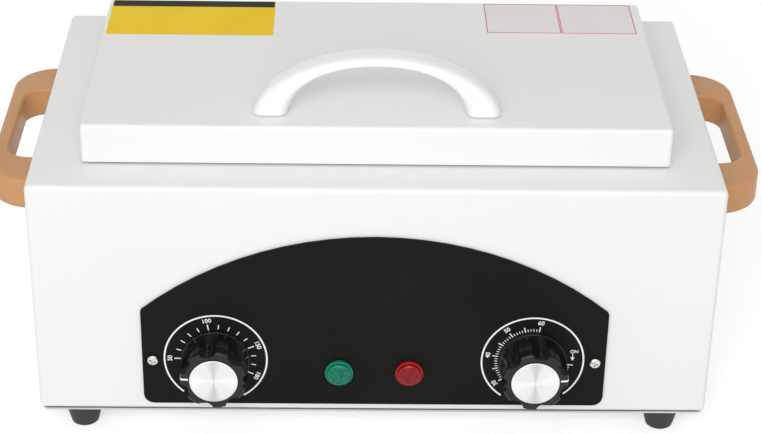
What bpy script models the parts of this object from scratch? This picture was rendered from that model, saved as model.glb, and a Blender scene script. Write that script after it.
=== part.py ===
"""Bench-top dry heat sterilizer.

A folded sheet steel case on rubber feet holds a drawn steel tank over a tubular
heating element. A hinged lid with an arched handle covers the tank, a control
panel with two fluted knobs and two lamps sits on the front, and a perforated
instrument tray stands in the tank. Units are metres, +Z is up, -Y is the front,
and the origin is on the bench under the middle of the whole machine.
"""

import math

import bmesh
import bpy
from mathutils import Matrix, Vector

# Clearances and stock
GAP = 0.0003
OVERRUN = 0.003
WELD_DISTANCE = 0.00001
SHEET = 0.001
PAN_SHEET = 0.0008
SHARP_ANGLE = math.radians(35)
SCREW_CROWN_SHARE = 1 / 3
SCREW_FLAT_SHARE = 1 / 2

# Case
BODY_WIDTH = 0.330
BODY_DEPTH = 0.195
BODY_TOP = 0.139
BEND_RADIUS = 0.0025
RETURN_WIDTH = 0.018

# Bottom plate and its vent slots
PLATE_INSET = 0.001
PLATE_CORNER = 0.003
VENT_LENGTH = 0.034
VENT_WIDTH = 0.003
VENT_PITCH = 0.011
VENT_COUNT = 7
VENT_ROW = 0.042

# Rubber feet and their screws
FOOT_HEIGHT = 0.012
FOOT_TOP_RADIUS = 0.009
FOOT_TREAD_RADIUS = 0.0066
FOOT_EDGE = 0.0008
FOOT_LIP = 0.0025
FOOT_RECESS_RADIUS = 0.0046
FOOT_RECESS_DEPTH = 0.0055
FOOT_INSET_X = 0.0205
FOOT_INSET_Y = 0.011
FOOT_SCREW_RADIUS = 0.0018
FOOT_SCREW_HEAD = 0.0038
FOOT_SCREW_HEAD_HEIGHT = 0.0024
FOOT_SCREW_REACH = 0.004

# Tank
CHAMBER_MARGIN_X = 0.040
CHAMBER_MARGIN_Y = 0.0435
CHAMBER_DROP = 0.060
CHAMBER_CORNER = 0.009
FLANGE_CLEARANCE = 0.0034
FLANGE_CORNER = 0.006

# Insulation round the tank
INSULATION = 0.010
INSULATION_FLOOR = 0.020

# Heating element on two grooved ceramic bars
HEATER_RADIUS = 0.00325
HEATER_SIDE = 0.021
HEATER_RUNS = 4
HEATER_END_MARGIN = 0.014
HEATER_TERMINAL = 0.012
HEATER_BEND_STEPS = 6
BAR_WIDTH = 0.008
BAR_FOOT = 0.003
BAR_SHOULDER = 0.0006
BAR_END = 0.006
BAR_SIDE = 0.055

# Channels that carry the insulated tank over the bottom plate
CHANNEL_WIDTH = 0.022
CHANNEL_SHEET = 0.0015
CHANNEL_SIDE = 0.0581
CHANNEL_END_MARGIN = 0.008

# Control panel
PANEL_THICKNESS = 0.0012
PANEL_MARGIN = 0.0518
PANEL_SILL = 0.0048
PANEL_SIDE = 0.0538
PANEL_CROWN = 0.0414
PANEL_LOW_CORNER = 0.005
PANEL_HIGH_CORNER = 0.0025
PANEL_ARC_STEPS = 22
PANEL_SCREW_INSET = 0.0052
PANEL_SCREW_RISE = 0.0256
PANEL_SCREW_RADIUS = 0.0013
PANEL_SCREW_HEAD = 0.0027
PANEL_SCREW_HEAD_HEIGHT = 0.0015
PANEL_SCREW_REACH = 0.004

# Thermostat and timer behind the panel
DIAL_INSET = 0.0358
DIAL_RISE = 0.0261
CONTROL_CLEARANCE = 0.0074
THERMOSTAT_WIDTH = 0.036
THERMOSTAT_HEIGHT = 0.030
TIMER_WIDTH = 0.044
TIMER_HEIGHT = 0.038
CONTROL_EDGE = 0.002
NECK_RADIUS = 0.0045
NECK_STAND = 0.0015
SPADE_WIDTH = 0.0048
SPADE_THICKNESS = 0.0008
SPADE_LENGTH = 0.005
SPADE_PLACE_SHARE = 0.3

# Spindles, fluted knobs and their spun caps
SPINDLE_RADIUS = 0.003
SPINDLE_FLAT = 0.0022
SPINDLE_END_GAP = 0.0005
SPINDLE_DEPTH = 0.010
SPINDLE_STEPS = 11
KNOB_RUNNING_GAP = 0.0006
KNOB_HEIGHT = 0.0156
KNOB_FLANGE_RADIUS = 0.0171
KNOB_FLANGE_HEIGHT = 0.0018
KNOB_RADIUS = 0.0162
KNOB_DRAFT = 0.0004
KNOB_SHOULDER = 0.0022
KNOB_ROUND_OFF = 0.0008
KNOB_ROUND_SHARE = 1 / 3
KNOB_HUB_RADIUS = 0.0070
KNOB_HUB_DEPTH = 0.0030
KNOB_BORE_DEPTH = 0.0110
KNOB_STEPS = 36
FLUTE_COUNT = 8
FLUTE_RADIUS = 0.0042
FLUTE_DEPTH = 0.0019
CAP_RADIUS = 0.01205
CAP_THICKNESS = 0.0016
CAP_SEAT = 0.0012
CAP_CHAMFER = 0.0004

# Signal lamps
LAMP_PLACE = 0.0172
LAMP_RISE = 0.0191
LAMP_BARREL_RADIUS = 0.0052
LAMP_BARREL_LENGTH = 0.016
LAMP_BORE_RADIUS = 0.0036
LENS_FLANGE_RADIUS = 0.0075
LENS_FLANGE_HEIGHT = 0.0016
LENS_RADIUS = 0.0062
LENS_HEIGHT = 0.0046
LENS_CROWN = 0.0008
LENS_CROWN_SHARE = 1 / 3
LENS_SHOULDER_SHARE = 2 / 3
LENS_CHAMFER = 0.0004
LENS_HOLLOW_RADIUS = 0.0046
LENS_HOLLOW_DEPTH = 0.0028

# Side handles and their screws
GRIP_REACH = 0.024
GRIP_HALF_LENGTH = 0.063
GRIP_HEIGHT = 0.016
GRIP_DROP = 0.015
GRIP_THICKNESS = 0.007
GRIP_OPENING = 0.0375
GRIP_OUTER_CORNER = 0.022
GRIP_INNER_CORNER = 0.011
GRIP_SETBACK = 0.0015
GRIP_EDGE = 0.0024
GRIP_SCREW_RADIUS = 0.002
GRIP_SCREW_HEAD = 0.004
GRIP_SCREW_HEAD_HEIGHT = 0.0024
GRIP_SCREW_REACH = 0.011

# Lid
LID_MARGIN_X = 0.0245
LID_MARGIN_FRONT = 0.023
LID_MARGIN_BACK = 0.025
LID_HEIGHT = 0.0195
LID_SEAM = 0.001
LID_BEND_RADIUS = 0.002
LINER_LIP = 0.009
LID_AIR_SPACE = 0.0033

# Arched handle on the lid
ARCH_HALF_LENGTH = 0.061
ARCH_RISE = 0.032
ARCH_INNER_HALF = 0.0427
ARCH_INNER_RISE = 0.0225
ARCH_DEPTH = 0.0135
ARCH_SETBACK = 0.017
ARCH_ROUNDNESS = 2.22
ARCH_STEPS = 16
ARCH_EDGE = 0.0026
ARCH_SCREW_RADIUS = 0.002
ARCH_SCREW_HEAD = 0.004
ARCH_SCREW_HEAD_HEIGHT = 0.0022
ARCH_SCREW_REACH = 0.007

# Hinges
HINGE_SIDE = 0.0505
HINGE_LENGTH = 0.040
HINGE_KNUCKLES = 5
HINGE_BARREL_RADIUS = 0.003
HINGE_PIN_RADIUS = 0.0013
HINGE_PIN_HEAD = 0.0021
HINGE_PIN_HEAD_LENGTH = 0.001
HINGE_LEAF_THICKNESS = 0.001
HINGE_BODY_LEAF = 0.015
HINGE_LID_LEAF = 0.0115
HINGE_NOTCH = 0.0005
HINGE_ARC_STEPS = 9
RIVET_RADIUS = 0.0019
RIVET_HEIGHT = 0.0007
RIVET_PLACE_SHARE = 0.3
RIVET_REACH_SHARE = 0.68

# Cord inlet in the back wall
GLAND_SIDE = 0.053
GLAND_RISE = 0.024
GLAND_BARREL_RADIUS = 0.006
GLAND_BORE_RADIUS = 0.0035
GLAND_FLANGE_RADIUS = 0.009
GLAND_FLANGE_HEIGHT = 0.003
GLAND_DOME_RADIUS = 0.0072
GLAND_ROUND = 0.0012
GLAND_REACH = 0.008
GLAND_DEPTH = 0.011
GLAND_NUT_RADIUS = 0.0098
GLAND_NUT_HEIGHT = 0.004

# Terminal block on the bottom plate
TERMINAL_WIDTH = 0.044
TERMINAL_DEPTH = 0.018
TERMINAL_HEIGHT = 0.016
TERMINAL_SIDE = 0.053
TERMINAL_SETBACK = 0.040
TERMINAL_WAYS = 3
TERMINAL_WELL_RADIUS = 0.003
TERMINAL_WELL_DEPTH = 0.009

# Capillary and bulb of the thermostat
CAPILLARY_RADIUS = 0.0009
BULB_RADIUS = 0.0026
BULB_LENGTH = 0.055
BULB_INSET = 0.007
CAPILLARY_BEND = 0.003
BULB_START = 0.012

# Instrument tray and its wire handles
TRAY_SIDE_CLEARANCE = 0.004
TRAY_HEIGHT = 0.028
TRAY_RIM = 0.0022
TRAY_CORNER = 0.006
TRAY_HOLE_RADIUS = 0.003
TRAY_HOLES_X = 8
TRAY_HOLES_Y = 4
TRAY_HOLE_MARGIN = 0.012
BAIL_RADIUS = 0.0013
BAIL_HALF_WIDTH = 0.024
BAIL_RISE = 0.018
BAIL_DROP = 0.014
BAIL_BEND = 0.007

# Places worked out from the driving dimensions
HALF_WIDTH = BODY_WIDTH / 2
HALF_DEPTH = BODY_DEPTH / 2
PLATE_BOTTOM = FOOT_HEIGHT + GAP
PLATE_TOP = PLATE_BOTTOM + SHEET
SHELL_BOTTOM = PLATE_TOP + GAP
FRONT_FACE = -HALF_DEPTH
BACK_FACE = HALF_DEPTH
PANEL_HALF_WIDTH = HALF_WIDTH - PANEL_MARGIN
PANEL_FACE = FRONT_FACE - GAP - PANEL_THICKNESS
PANEL_BOTTOM = SHELL_BOTTOM + PANEL_SILL
DIAL_PLACE = PANEL_HALF_WIDTH - DIAL_INSET
DIAL_HEIGHT = PANEL_BOTTOM + DIAL_RISE
LAMP_HEIGHT = PANEL_BOTTOM + LAMP_RISE
PANEL_SCREW_PLACE = PANEL_HALF_WIDTH - PANEL_SCREW_INSET
PANEL_SCREW_LEVEL = PANEL_BOTTOM + PANEL_SCREW_RISE
KNOB_BACK = PANEL_FACE - KNOB_RUNNING_GAP
CAP_FACE = KNOB_BACK - KNOB_HEIGHT + CAP_SEAT - GAP - CAP_THICKNESS

CHAMBER_X = HALF_WIDTH - CHAMBER_MARGIN_X
CHAMBER_Y = HALF_DEPTH - CHAMBER_MARGIN_Y
FLANGE_BOTTOM = BODY_TOP + GAP
FLANGE_TOP = FLANGE_BOTTOM + PAN_SHEET
CHAMBER_FLOOR = FLANGE_TOP - CHAMBER_DROP
TANK_BOTTOM = CHAMBER_FLOOR - PAN_SHEET
HEATER_LEVEL = TANK_BOTTOM - GAP - HEATER_RADIUS
HEATER_PITCH = 2 * (CHAMBER_Y - HEATER_SIDE) / (HEATER_RUNS - 1)
BAR_PLACE = CHAMBER_X - BAR_SIDE
BAR_BOTTOM = HEATER_LEVEL - HEATER_RADIUS - BAR_FOOT
POCKET_FLOOR = BAR_BOTTOM - GAP
JACKET_BOTTOM = POCKET_FLOOR - INSULATION_FLOOR
JACKET_TOP = BODY_TOP - SHEET - GAP
POCKET_X = CHAMBER_X + PAN_SHEET + GAP
POCKET_Y = CHAMBER_Y + PAN_SHEET + GAP
JACKET_X = POCKET_X + INSULATION
JACKET_Y = POCKET_Y + INSULATION
CHANNEL_PLACE = JACKET_X - CHANNEL_SIDE
TERMINAL_PLACE = HALF_WIDTH - TERMINAL_SIDE
CONTROL_FRONT = FRONT_FACE + SHEET + GAP
CONTROL_BACK = -JACKET_Y - CONTROL_CLEARANCE

LID_BOTTOM = BODY_TOP + LID_SEAM
LID_TOP = LID_BOTTOM + LID_HEIGHT
LID_X = HALF_WIDTH - LID_MARGIN_X
LID_FRONT = FRONT_FACE + LID_MARGIN_FRONT
LID_BACK = BACK_FACE - LID_MARGIN_BACK
LID_MIDDLE = (LID_FRONT + LID_BACK) / 2
LID_HALF_DEPTH = (LID_BACK - LID_FRONT) / 2
LINER_X = LID_X - SHEET - GAP
LINER_Y = LID_HALF_DEPTH - SHEET - GAP
LINER_BOTTOM = FLANGE_TOP + GAP
FLANGE_X = LINER_X - PAN_SHEET - FLANGE_CLEARANCE
FLANGE_Y = LINER_Y - PAN_SHEET - FLANGE_CLEARANCE - abs(LID_MIDDLE)
ARCH_MIDDLE = LID_FRONT + ARCH_SETBACK
ARCH_SCREW_PLACE = (ARCH_HALF_LENGTH + ARCH_INNER_HALF) / 2
HINGE_PLACE = LID_X - HINGE_SIDE
HINGE_Y = LID_BACK + GAP + HINGE_BARREL_RADIUS
HINGE_Z = BODY_TOP + GAP + HINGE_BARREL_RADIUS
KNUCKLE_LENGTH = HINGE_LENGTH / HINGE_KNUCKLES

GRIP_ROOT = HALF_WIDTH + GAP
GRIP_TOP = BODY_TOP - GRIP_DROP
GRIP_LEVEL = GRIP_TOP - GRIP_HEIGHT / 2
GRIP_SCREW_OFFSET = (GRIP_HALF_LENGTH + GRIP_OPENING) / 2
GLAND_PLACE = HALF_WIDTH - GLAND_SIDE
GLAND_LEVEL = SHELL_BOTTOM + GLAND_RISE
TRAY_X = CHAMBER_X - TRAY_SIDE_CLEARANCE
TRAY_Y = CHAMBER_Y - TRAY_SIDE_CLEARANCE
TRAY_BOTTOM = CHAMBER_FLOOR + GAP
TRAY_TOP = TRAY_BOTTOM + TRAY_HEIGHT
BULB_Y = -CHAMBER_Y + BULB_INSET
BULB_LEVEL = TANK_BOTTOM - GAP - BULB_RADIUS

# The machine stands so that the knobs and the cord inlet reach equally far
CASE_SHIFT = (-CAP_FACE - (BACK_FACE + GLAND_REACH)) / 2


def start_clean():
    """Empties the scene and makes the two collections and the carriers."""
    for old in list(bpy.data.objects):
        bpy.data.objects.remove(old, do_unlink=True)
    for name in ("sterilizer", "cutters"):
        bpy.context.scene.collection.children.link(bpy.data.collections.new(name))


def carrier(name, place, parent=None):
    """An empty that carries the pieces of one rigid body, on its axis."""
    empty = bpy.data.objects.new(name, None)
    bpy.data.collections["sterilizer"].objects.link(empty)
    empty.parent = parent
    empty.location = place
    return empty


def colour_finish(name, colour, roughness, metallic=0.0):
    finish = bpy.data.materials.new(name)
    finish.use_nodes = True
    shader = finish.node_tree.nodes["Principled BSDF"]
    shader.inputs["Base Color"].default_value = (*colour, 1.0)
    shader.inputs["Roughness"].default_value = roughness
    shader.inputs["Metallic"].default_value = metallic
    return finish


def into_collection(piece, name):
    for home in list(piece.users_collection):
        home.objects.unlink(piece)
    bpy.data.collections[name].objects.link(piece)


def fit(piece, name, finish, body):
    """Names a piece, gives it its finish and hands it to the body that carries it."""
    piece.name = name
    piece.data.name = name
    piece.data.materials.clear()
    piece.data.materials.append(finish)
    if piece.type == "MESH":
        piece.data.shade_smooth()
        piece.data.set_sharp_from_angle(angle=SHARP_ANGLE)
    into_collection(piece, "sterilizer")
    piece.parent = body
    if body is not case:
        piece.location -= body.location
    return piece


def as_cutter(piece, name):
    """Turns a piece into a hidden tool that shapes another one."""
    piece.name = name
    piece.hide_render = True
    piece.display_type = "WIRE"
    into_collection(piece, "cutters")
    piece.parent = case
    return piece


def combine(piece, tool, operation="DIFFERENCE"):
    step = piece.modifiers.new(tool.name, "BOOLEAN")
    step.operation = operation
    step.solver = "EXACT"
    step.object = tool


def rounded_edges(piece, radius, segments=2):
    step = piece.modifiers.new("rounded_edges", "BEVEL")
    step.width = radius
    step.segments = segments
    step.limit_method = "ANGLE"
    step.angle_limit = SHARP_ANGLE


def walled(piece, thickness):
    """Gives an outer skin its sheet thickness, inwards."""
    step = piece.modifiers.new("sheet", "SOLIDIFY")
    step.thickness = thickness
    step.offset = -1
    step.use_even_offset = True


def block(low, high):
    """A box between two opposite corners."""
    low = Vector(low)
    high = Vector(high)
    bpy.ops.mesh.primitive_cube_add(size=1)
    piece = bpy.context.object
    piece.data.transform(Matrix.Diagonal((*(high - low), 1)))
    piece.location = (low + high) / 2
    return piece


def open_block(low, high, open_end):
    """A box without its top (+1) or bottom (-1) face."""
    piece = block(low, high)
    shape = bmesh.new()
    shape.from_mesh(piece.data)
    missing = [face for face in shape.faces if face.normal.z * open_end > 1 / 2]
    bmesh.ops.delete(shape, geom=missing, context="FACES")
    shape.to_mesh(piece.data)
    shape.free()
    return piece


def prism_block(low, high, corner, steps=3):
    """A box whose four upright edges are rounded."""
    corners = [
        (low[0], low[1], corner), (high[0], low[1], corner),
        (high[0], high[1], corner), (low[0], high[1], corner),
    ]
    middle = (0, 0, (low[2] + high[2]) / 2)
    return slab(rounded(corners, steps), high[2] - low[2], middle)


TURN = {
    "up": Matrix.Identity(4),
    "down": Matrix.Rotation(math.pi, 4, "X"),
    "front": Matrix.Rotation(math.pi / 2, 4, "X"),
    "back": Matrix.Rotation(-math.pi / 2, 4, "X"),
    "right": Matrix.Rotation(math.pi / 2, 4, "Y"),
    "left": Matrix.Rotation(-math.pi / 2, 4, "Y"),
}


def rod(radius, start, length, facing="up", sides=18):
    """A cylinder that runs from its start in the direction that it faces."""
    bpy.ops.mesh.primitive_cylinder_add(vertices=sides, radius=radius, depth=length)
    piece = bpy.context.object
    piece.data.transform(TURN[facing] @ Matrix.Translation((0, 0, length / 2)))
    piece.location = start
    return piece


def turned(profile, place, facing="up", steps=24, closed=False):
    """A lathe-turned piece: its profile lists (radius, height) down the outer side."""
    mesh = bpy.data.meshes.new("turned")
    points = [(radius, 0, height) for radius, height in profile]
    edges = [(n, n + 1) for n in range(len(points) - 1)]
    if closed:
        edges.append((len(points) - 1, 0))
    mesh.from_pydata(points, edges, [])
    piece = bpy.data.objects.new("turned", mesh)
    bpy.context.scene.collection.objects.link(piece)
    step = piece.modifiers.new("turning", "SCREW")
    step.axis = "Z"
    step.steps = steps
    step.render_steps = steps
    step.use_merge_vertices = True
    step.merge_threshold = WELD_DISTANCE
    piece.matrix_basis = Matrix.Translation(place) @ TURN[facing]
    return piece


def rounded(corners, steps=6):
    """The outline through corners (x, y, radius), each with its round."""
    outline = []
    for n, (x, y, radius) in enumerate(corners):
        here = Vector((x, y))
        if radius == 0:
            outline.append(here)
            continue
        before = (Vector(corners[n - 1][:2]) - here).normalized()
        after = (Vector(corners[(n + 1) % len(corners)][:2]) - here).normalized()
        half = before.angle(after) / 2
        centre = here + (before + after).normalized() * (radius / math.sin(half))
        first = here + before * (radius / math.tan(half)) - centre
        turn = math.pi - 2 * half
        side = 1 if before.x * after.y - before.y * after.x < 0 else -1
        for k in range(steps + 1):
            angle = side * turn * k / steps
            spin = Matrix.Rotation(angle, 2)
            outline.append(centre + spin @ first)
    return outline


def solid_from_curve(curve_piece):
    """Makes a curve's solid a mesh whose caps are joined to its sides."""
    graph = bpy.context.evaluated_depsgraph_get()
    mesh = bpy.data.meshes.new_from_object(curve_piece.evaluated_get(graph))
    shape = bmesh.new()
    shape.from_mesh(mesh)
    bmesh.ops.remove_doubles(shape, verts=shape.verts, dist=WELD_DISTANCE)
    bmesh.ops.recalc_face_normals(shape, faces=shape.faces)
    shape.to_mesh(mesh)
    shape.free()
    piece = bpy.data.objects.new(curve_piece.name, mesh)
    piece.matrix_world = curve_piece.matrix_world
    bpy.context.scene.collection.objects.link(piece)
    bpy.data.objects.remove(curve_piece)
    return piece


def slab(outline, thickness, place, facing="up"):
    """A flat outline with a thickness, centred on its place."""
    curve = bpy.data.curves.new("slab", "CURVE")
    curve.dimensions = "2D"
    curve.fill_mode = "BOTH"
    curve.extrude = thickness / 2
    line = curve.splines.new("POLY")
    line.points.add(len(outline) - 1)
    for point, (x, y) in zip(line.points, outline):
        point.co = (x, y, 0, 1)
    line.use_cyclic_u = True
    piece = bpy.data.objects.new("slab", curve)
    bpy.context.scene.collection.objects.link(piece)
    piece = solid_from_curve(piece)
    piece.data.transform(TURN[facing])
    piece.location = place
    return piece


def length_of_section(outline, length, place):
    """A section drawn in Y and Z, drawn out to a length along X."""
    piece = slab(outline, length, place)
    along_x = Matrix(((0, 0, 1, 0), (1, 0, 0, 0), (0, 1, 0, 0), (0, 0, 0, 1)))
    piece.data.transform(along_x)
    return piece


def tube(points, radius, swell=None):
    """A bent rod or pipe along points; swell lists the thickness at each point."""
    curve = bpy.data.curves.new("tube", "CURVE")
    curve.dimensions = "3D"
    curve.bevel_depth = radius
    curve.bevel_resolution = 2
    curve.use_fill_caps = True
    line = curve.splines.new("POLY")
    line.points.add(len(points) - 1)
    for n, (point, place) in enumerate(zip(line.points, points)):
        point.co = (*place, 1)
        point.radius = swell[n] if swell else 1
    piece = bpy.data.objects.new("tube", curve)
    bpy.context.scene.collection.objects.link(piece)
    return piece


def bent(corners, radius, steps=4):
    """The path through 3D corners with a round of one radius at each inner one."""
    path = [Vector(corners[0])]
    for n in range(1, len(corners) - 1):
        here = Vector(corners[n])
        before = (Vector(corners[n - 1]) - here).normalized()
        after = (Vector(corners[n + 1]) - here).normalized()
        half = before.angle(after) / 2
        centre = here + (before + after).normalized() * (radius / math.sin(half))
        first = here + before * (radius / math.tan(half)) - centre
        axis = after.cross(before)
        for k in range(steps + 1):
            angle = (math.pi - 2 * half) * k / steps
            path.append(centre + Matrix.Rotation(angle, 3, axis) @ first)
    path.append(Vector(corners[-1]))
    return path


def pan_head_screw(radius, reach, head_radius, head_height, place, facing):
    """A domed screw whose head stands on its place and whose shank runs behind."""
    crown = head_height * SCREW_CROWN_SHARE
    flat = head_radius * SCREW_FLAT_SHARE
    profile = [
        (0, head_height), (flat, head_height), (head_radius - crown, head_height - crown),
        (head_radius, crown), (head_radius, 0), (radius, 0), (radius, -reach), (0, -reach),
    ]
    return turned(profile, place, facing, steps=10)


def side_name(side):
    return "right" if side > 0 else "left"


def make_outer_shell():
    """The case: one folded sheet with a tank opening, a foot return and holes."""
    shell = block((-HALF_WIDTH, FRONT_FACE, SHELL_BOTTOM), (HALF_WIDTH, BACK_FACE, BODY_TOP))
    rounded_edges(shell, BEND_RADIUS)
    walled(shell, SHEET)
    mouth = prism_block(
        (-POCKET_X, -POCKET_Y, BODY_TOP - SHEET - OVERRUN),
        (POCKET_X, POCKET_Y, BODY_TOP + OVERRUN),
        CHAMBER_CORNER,
    )
    combine(shell, as_cutter(mouth, "tank_opening"))
    underside = block(
        (RETURN_WIDTH - HALF_WIDTH, FRONT_FACE + RETURN_WIDTH, SHELL_BOTTOM - OVERRUN),
        (HALF_WIDTH - RETURN_WIDTH, BACK_FACE - RETURN_WIDTH, SHELL_BOTTOM + SHEET + OVERRUN),
    )
    combine(shell, as_cutter(underside, "underside_opening"))
    through = SHEET + 2 * OVERRUN
    start = FRONT_FACE - OVERRUN
    for side in (-1, 1):
        word = side_name(side)
        neck = rod(NECK_RADIUS + GAP, (side * DIAL_PLACE, start, DIAL_HEIGHT), through, "back")
        combine(shell, as_cutter(neck, "shell_neck_hole_" + word))
        lamp = rod(LAMP_BARREL_RADIUS + GAP, (side * LAMP_PLACE, start, LAMP_HEIGHT), through, "back")
        combine(shell, as_cutter(lamp, "shell_lamp_hole_" + word))
        place = (side * PANEL_SCREW_PLACE, start, PANEL_SCREW_LEVEL)
        screw = rod(PANEL_SCREW_RADIUS + GAP, place, through, "back", sides=8)
        combine(shell, as_cutter(screw, "shell_panel_screw_hole_" + word))
        for end in (-1, 1):
            y = end * GRIP_SCREW_OFFSET - GRIP_SETBACK
            place = (side * (HALF_WIDTH + OVERRUN), y, GRIP_LEVEL)
            inward = "left" if side > 0 else "right"
            hole = rod(GRIP_SCREW_RADIUS + GAP, place, through, inward, sides=8)
            combine(shell, as_cutter(hole, f"shell_handle_hole_{word}_{end}"))
            combine(shell, foot_screw_hole(side, end, SHELL_BOTTOM, "shell"))
    inlet = rod(
        GLAND_BARREL_RADIUS + GAP, (GLAND_PLACE, BACK_FACE + OVERRUN, GLAND_LEVEL), through, "front"
    )
    combine(shell, as_cutter(inlet, "shell_cord_hole"))
    fit(shell, "outer_shell", WHITE_ENAMEL, case)


def foot_place(side, end):
    return Vector((side * (HALF_WIDTH - FOOT_INSET_X), end * (HALF_DEPTH - FOOT_INSET_Y), 0))


def foot_screw_hole(side, end, level, name):
    place = foot_place(side, end) + Vector((0, 0, level - OVERRUN))
    hole = rod(FOOT_SCREW_RADIUS + GAP, place, SHEET + 2 * OVERRUN, "up", sides=8)
    return as_cutter(hole, f"{name}_foot_hole_{side}_{end}")


def make_bottom_plate():
    """The plate that closes the case from below, with two rows of vent slots."""
    plate = prism_block(
        (PLATE_INSET - HALF_WIDTH, FRONT_FACE + PLATE_INSET, PLATE_BOTTOM),
        (HALF_WIDTH - PLATE_INSET, BACK_FACE - PLATE_INSET, PLATE_TOP),
        PLATE_CORNER,
    )
    for row in (-1, 1):
        for n in range(VENT_COUNT):
            x = (n - (VENT_COUNT - 1) / 2) * VENT_PITCH
            y = row * VENT_ROW
            slot = block(
                (x - VENT_WIDTH / 2, y - VENT_LENGTH / 2, PLATE_BOTTOM - OVERRUN),
                (x + VENT_WIDTH / 2, y + VENT_LENGTH / 2, PLATE_TOP + OVERRUN),
            )
            combine(plate, as_cutter(slot, f"vent_slot_{row}_{n}"))
    for side in (-1, 1):
        for end in (-1, 1):
            combine(plate, foot_screw_hole(side, end, PLATE_BOTTOM, "plate"))
    fit(plate, "bottom_plate", ZINC_STEEL, case)


def make_feet():
    """Four tapered rubber feet, each held by a screw in a recess."""
    bore = FOOT_SCREW_RADIUS + GAP
    profile = [
        (bore, FOOT_HEIGHT), (FOOT_TOP_RADIUS, FOOT_HEIGHT), (FOOT_TOP_RADIUS, FOOT_HEIGHT - FOOT_LIP),
        (FOOT_TREAD_RADIUS + FOOT_EDGE / 2, FOOT_EDGE), (FOOT_TREAD_RADIUS, 0),
        (FOOT_RECESS_RADIUS, 0), (FOOT_RECESS_RADIUS, FOOT_RECESS_DEPTH), (bore, FOOT_RECESS_DEPTH),
    ]
    seat = FOOT_RECESS_DEPTH - GAP
    reach = FOOT_HEIGHT - seat + 2 * GAP + 2 * SHEET + FOOT_SCREW_REACH
    for side in (-1, 1):
        for end in (-1, 1):
            word = ("rear_" if end > 0 else "front_") + side_name(side)
            place = foot_place(side, end)
            foot = turned(profile, place, steps=16, closed=True)
            fit(foot, "foot_" + word, RUBBER, case)
            screw = pan_head_screw(
                FOOT_SCREW_RADIUS, reach, FOOT_SCREW_HEAD, FOOT_SCREW_HEAD_HEIGHT,
                place + Vector((0, 0, seat)), "down",
            )
            fit(screw, "foot_screw_" + word, ZINC_STEEL, case)


def make_inner_tank():
    """The drawn stainless tank, hung in the case by its flange."""
    tank = prism_block(
        (-CHAMBER_X - PAN_SHEET, -CHAMBER_Y - PAN_SHEET, TANK_BOTTOM),
        (CHAMBER_X + PAN_SHEET, CHAMBER_Y + PAN_SHEET, FLANGE_TOP - PAN_SHEET / 2),
        CHAMBER_CORNER + PAN_SHEET,
    )
    flange = prism_block(
        (-FLANGE_X, -FLANGE_Y, FLANGE_BOTTOM), (FLANGE_X, FLANGE_Y, FLANGE_TOP), FLANGE_CORNER
    )
    combine(tank, as_cutter(flange, "tank_flange"), "UNION")
    hollow = prism_block(
        (-CHAMBER_X, -CHAMBER_Y, CHAMBER_FLOOR), (CHAMBER_X, CHAMBER_Y, FLANGE_TOP + OVERRUN),
        CHAMBER_CORNER,
    )
    combine(tank, as_cutter(hollow, "tank_hollow"))
    fit(tank, "inner_tank", STAINLESS, case)


def make_insulation_jacket():
    """The rigid insulation round the tank, with a pocket for the element below it."""
    jacket = block((-JACKET_X, -JACKET_Y, JACKET_BOTTOM), (JACKET_X, JACKET_Y, JACKET_TOP))
    pocket = block((-POCKET_X, -POCKET_Y, POCKET_FLOOR), (POCKET_X, POCKET_Y, JACKET_TOP + OVERRUN))
    combine(jacket, as_cutter(pocket, "tank_pocket"))
    for side in (-1, 1):
        y = side * HEATER_PITCH * (HEATER_RUNS - 1) / 2
        place = (POCKET_X - OVERRUN, y, HEATER_LEVEL)
        way = rod(HEATER_RADIUS + 2 * GAP, place, INSULATION + 2 * OVERRUN, "right", sides=10)
        combine(jacket, as_cutter(way, f"element_way_{side}"))
    place = (-DIAL_PLACE, -JACKET_Y - OVERRUN, BULB_LEVEL)
    way = rod(CAPILLARY_RADIUS + 2 * GAP, place, INSULATION + 2 * OVERRUN, "back", sides=8)
    combine(jacket, as_cutter(way, "capillary_way"))
    fit(jacket, "insulation_jacket", MINERAL_WOOL, case)


def element_path():
    """The element's middle line: parallel runs joined by half-round bends."""
    bend = HEATER_PITCH / 2
    reach = CHAMBER_X - HEATER_END_MARGIN - bend
    terminal = JACKET_X + HEATER_TERMINAL
    first = -HEATER_PITCH * (HEATER_RUNS - 1) / 2
    path = [Vector((terminal, first, HEATER_LEVEL))]
    for n in range(HEATER_RUNS - 1):
        end = -1 if n % 2 == 0 else 1
        middle = Vector((end * reach, first + HEATER_PITCH * (n + 1 / 2), HEATER_LEVEL))
        for k in range(HEATER_BEND_STEPS + 1):
            angle = math.pi * k / HEATER_BEND_STEPS
            path.append(middle + bend * Vector((end * math.sin(angle), -math.cos(angle), 0)))
    path.append(Vector((terminal, -first, HEATER_LEVEL)))
    return path


def make_heating_element():
    """The tubular element under the tank, laid in grooves of two ceramic bars."""
    fit(tube(element_path(), HEATER_RADIUS), "heating_element", ELEMENT_STEEL, case)
    first = -HEATER_PITCH * (HEATER_RUNS - 1) / 2
    half = -first + HEATER_RADIUS + BAR_END
    for side in (-1, 1):
        x = side * BAR_PLACE
        bar = block(
            (x - BAR_WIDTH / 2, -half, BAR_BOTTOM),
            (x + BAR_WIDTH / 2, half, HEATER_LEVEL - BAR_SHOULDER),
        )
        for n in range(HEATER_RUNS):
            place = (x - BAR_WIDTH / 2 - OVERRUN, first + n * HEATER_PITCH, HEATER_LEVEL)
            groove = rod(HEATER_RADIUS + GAP, place, BAR_WIDTH + 2 * OVERRUN, "right", sides=12)
            combine(bar, as_cutter(groove, f"bar_groove_{side}_{n}"))
        fit(bar, "element_bar_" + side_name(side), CERAMIC, case)


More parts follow.
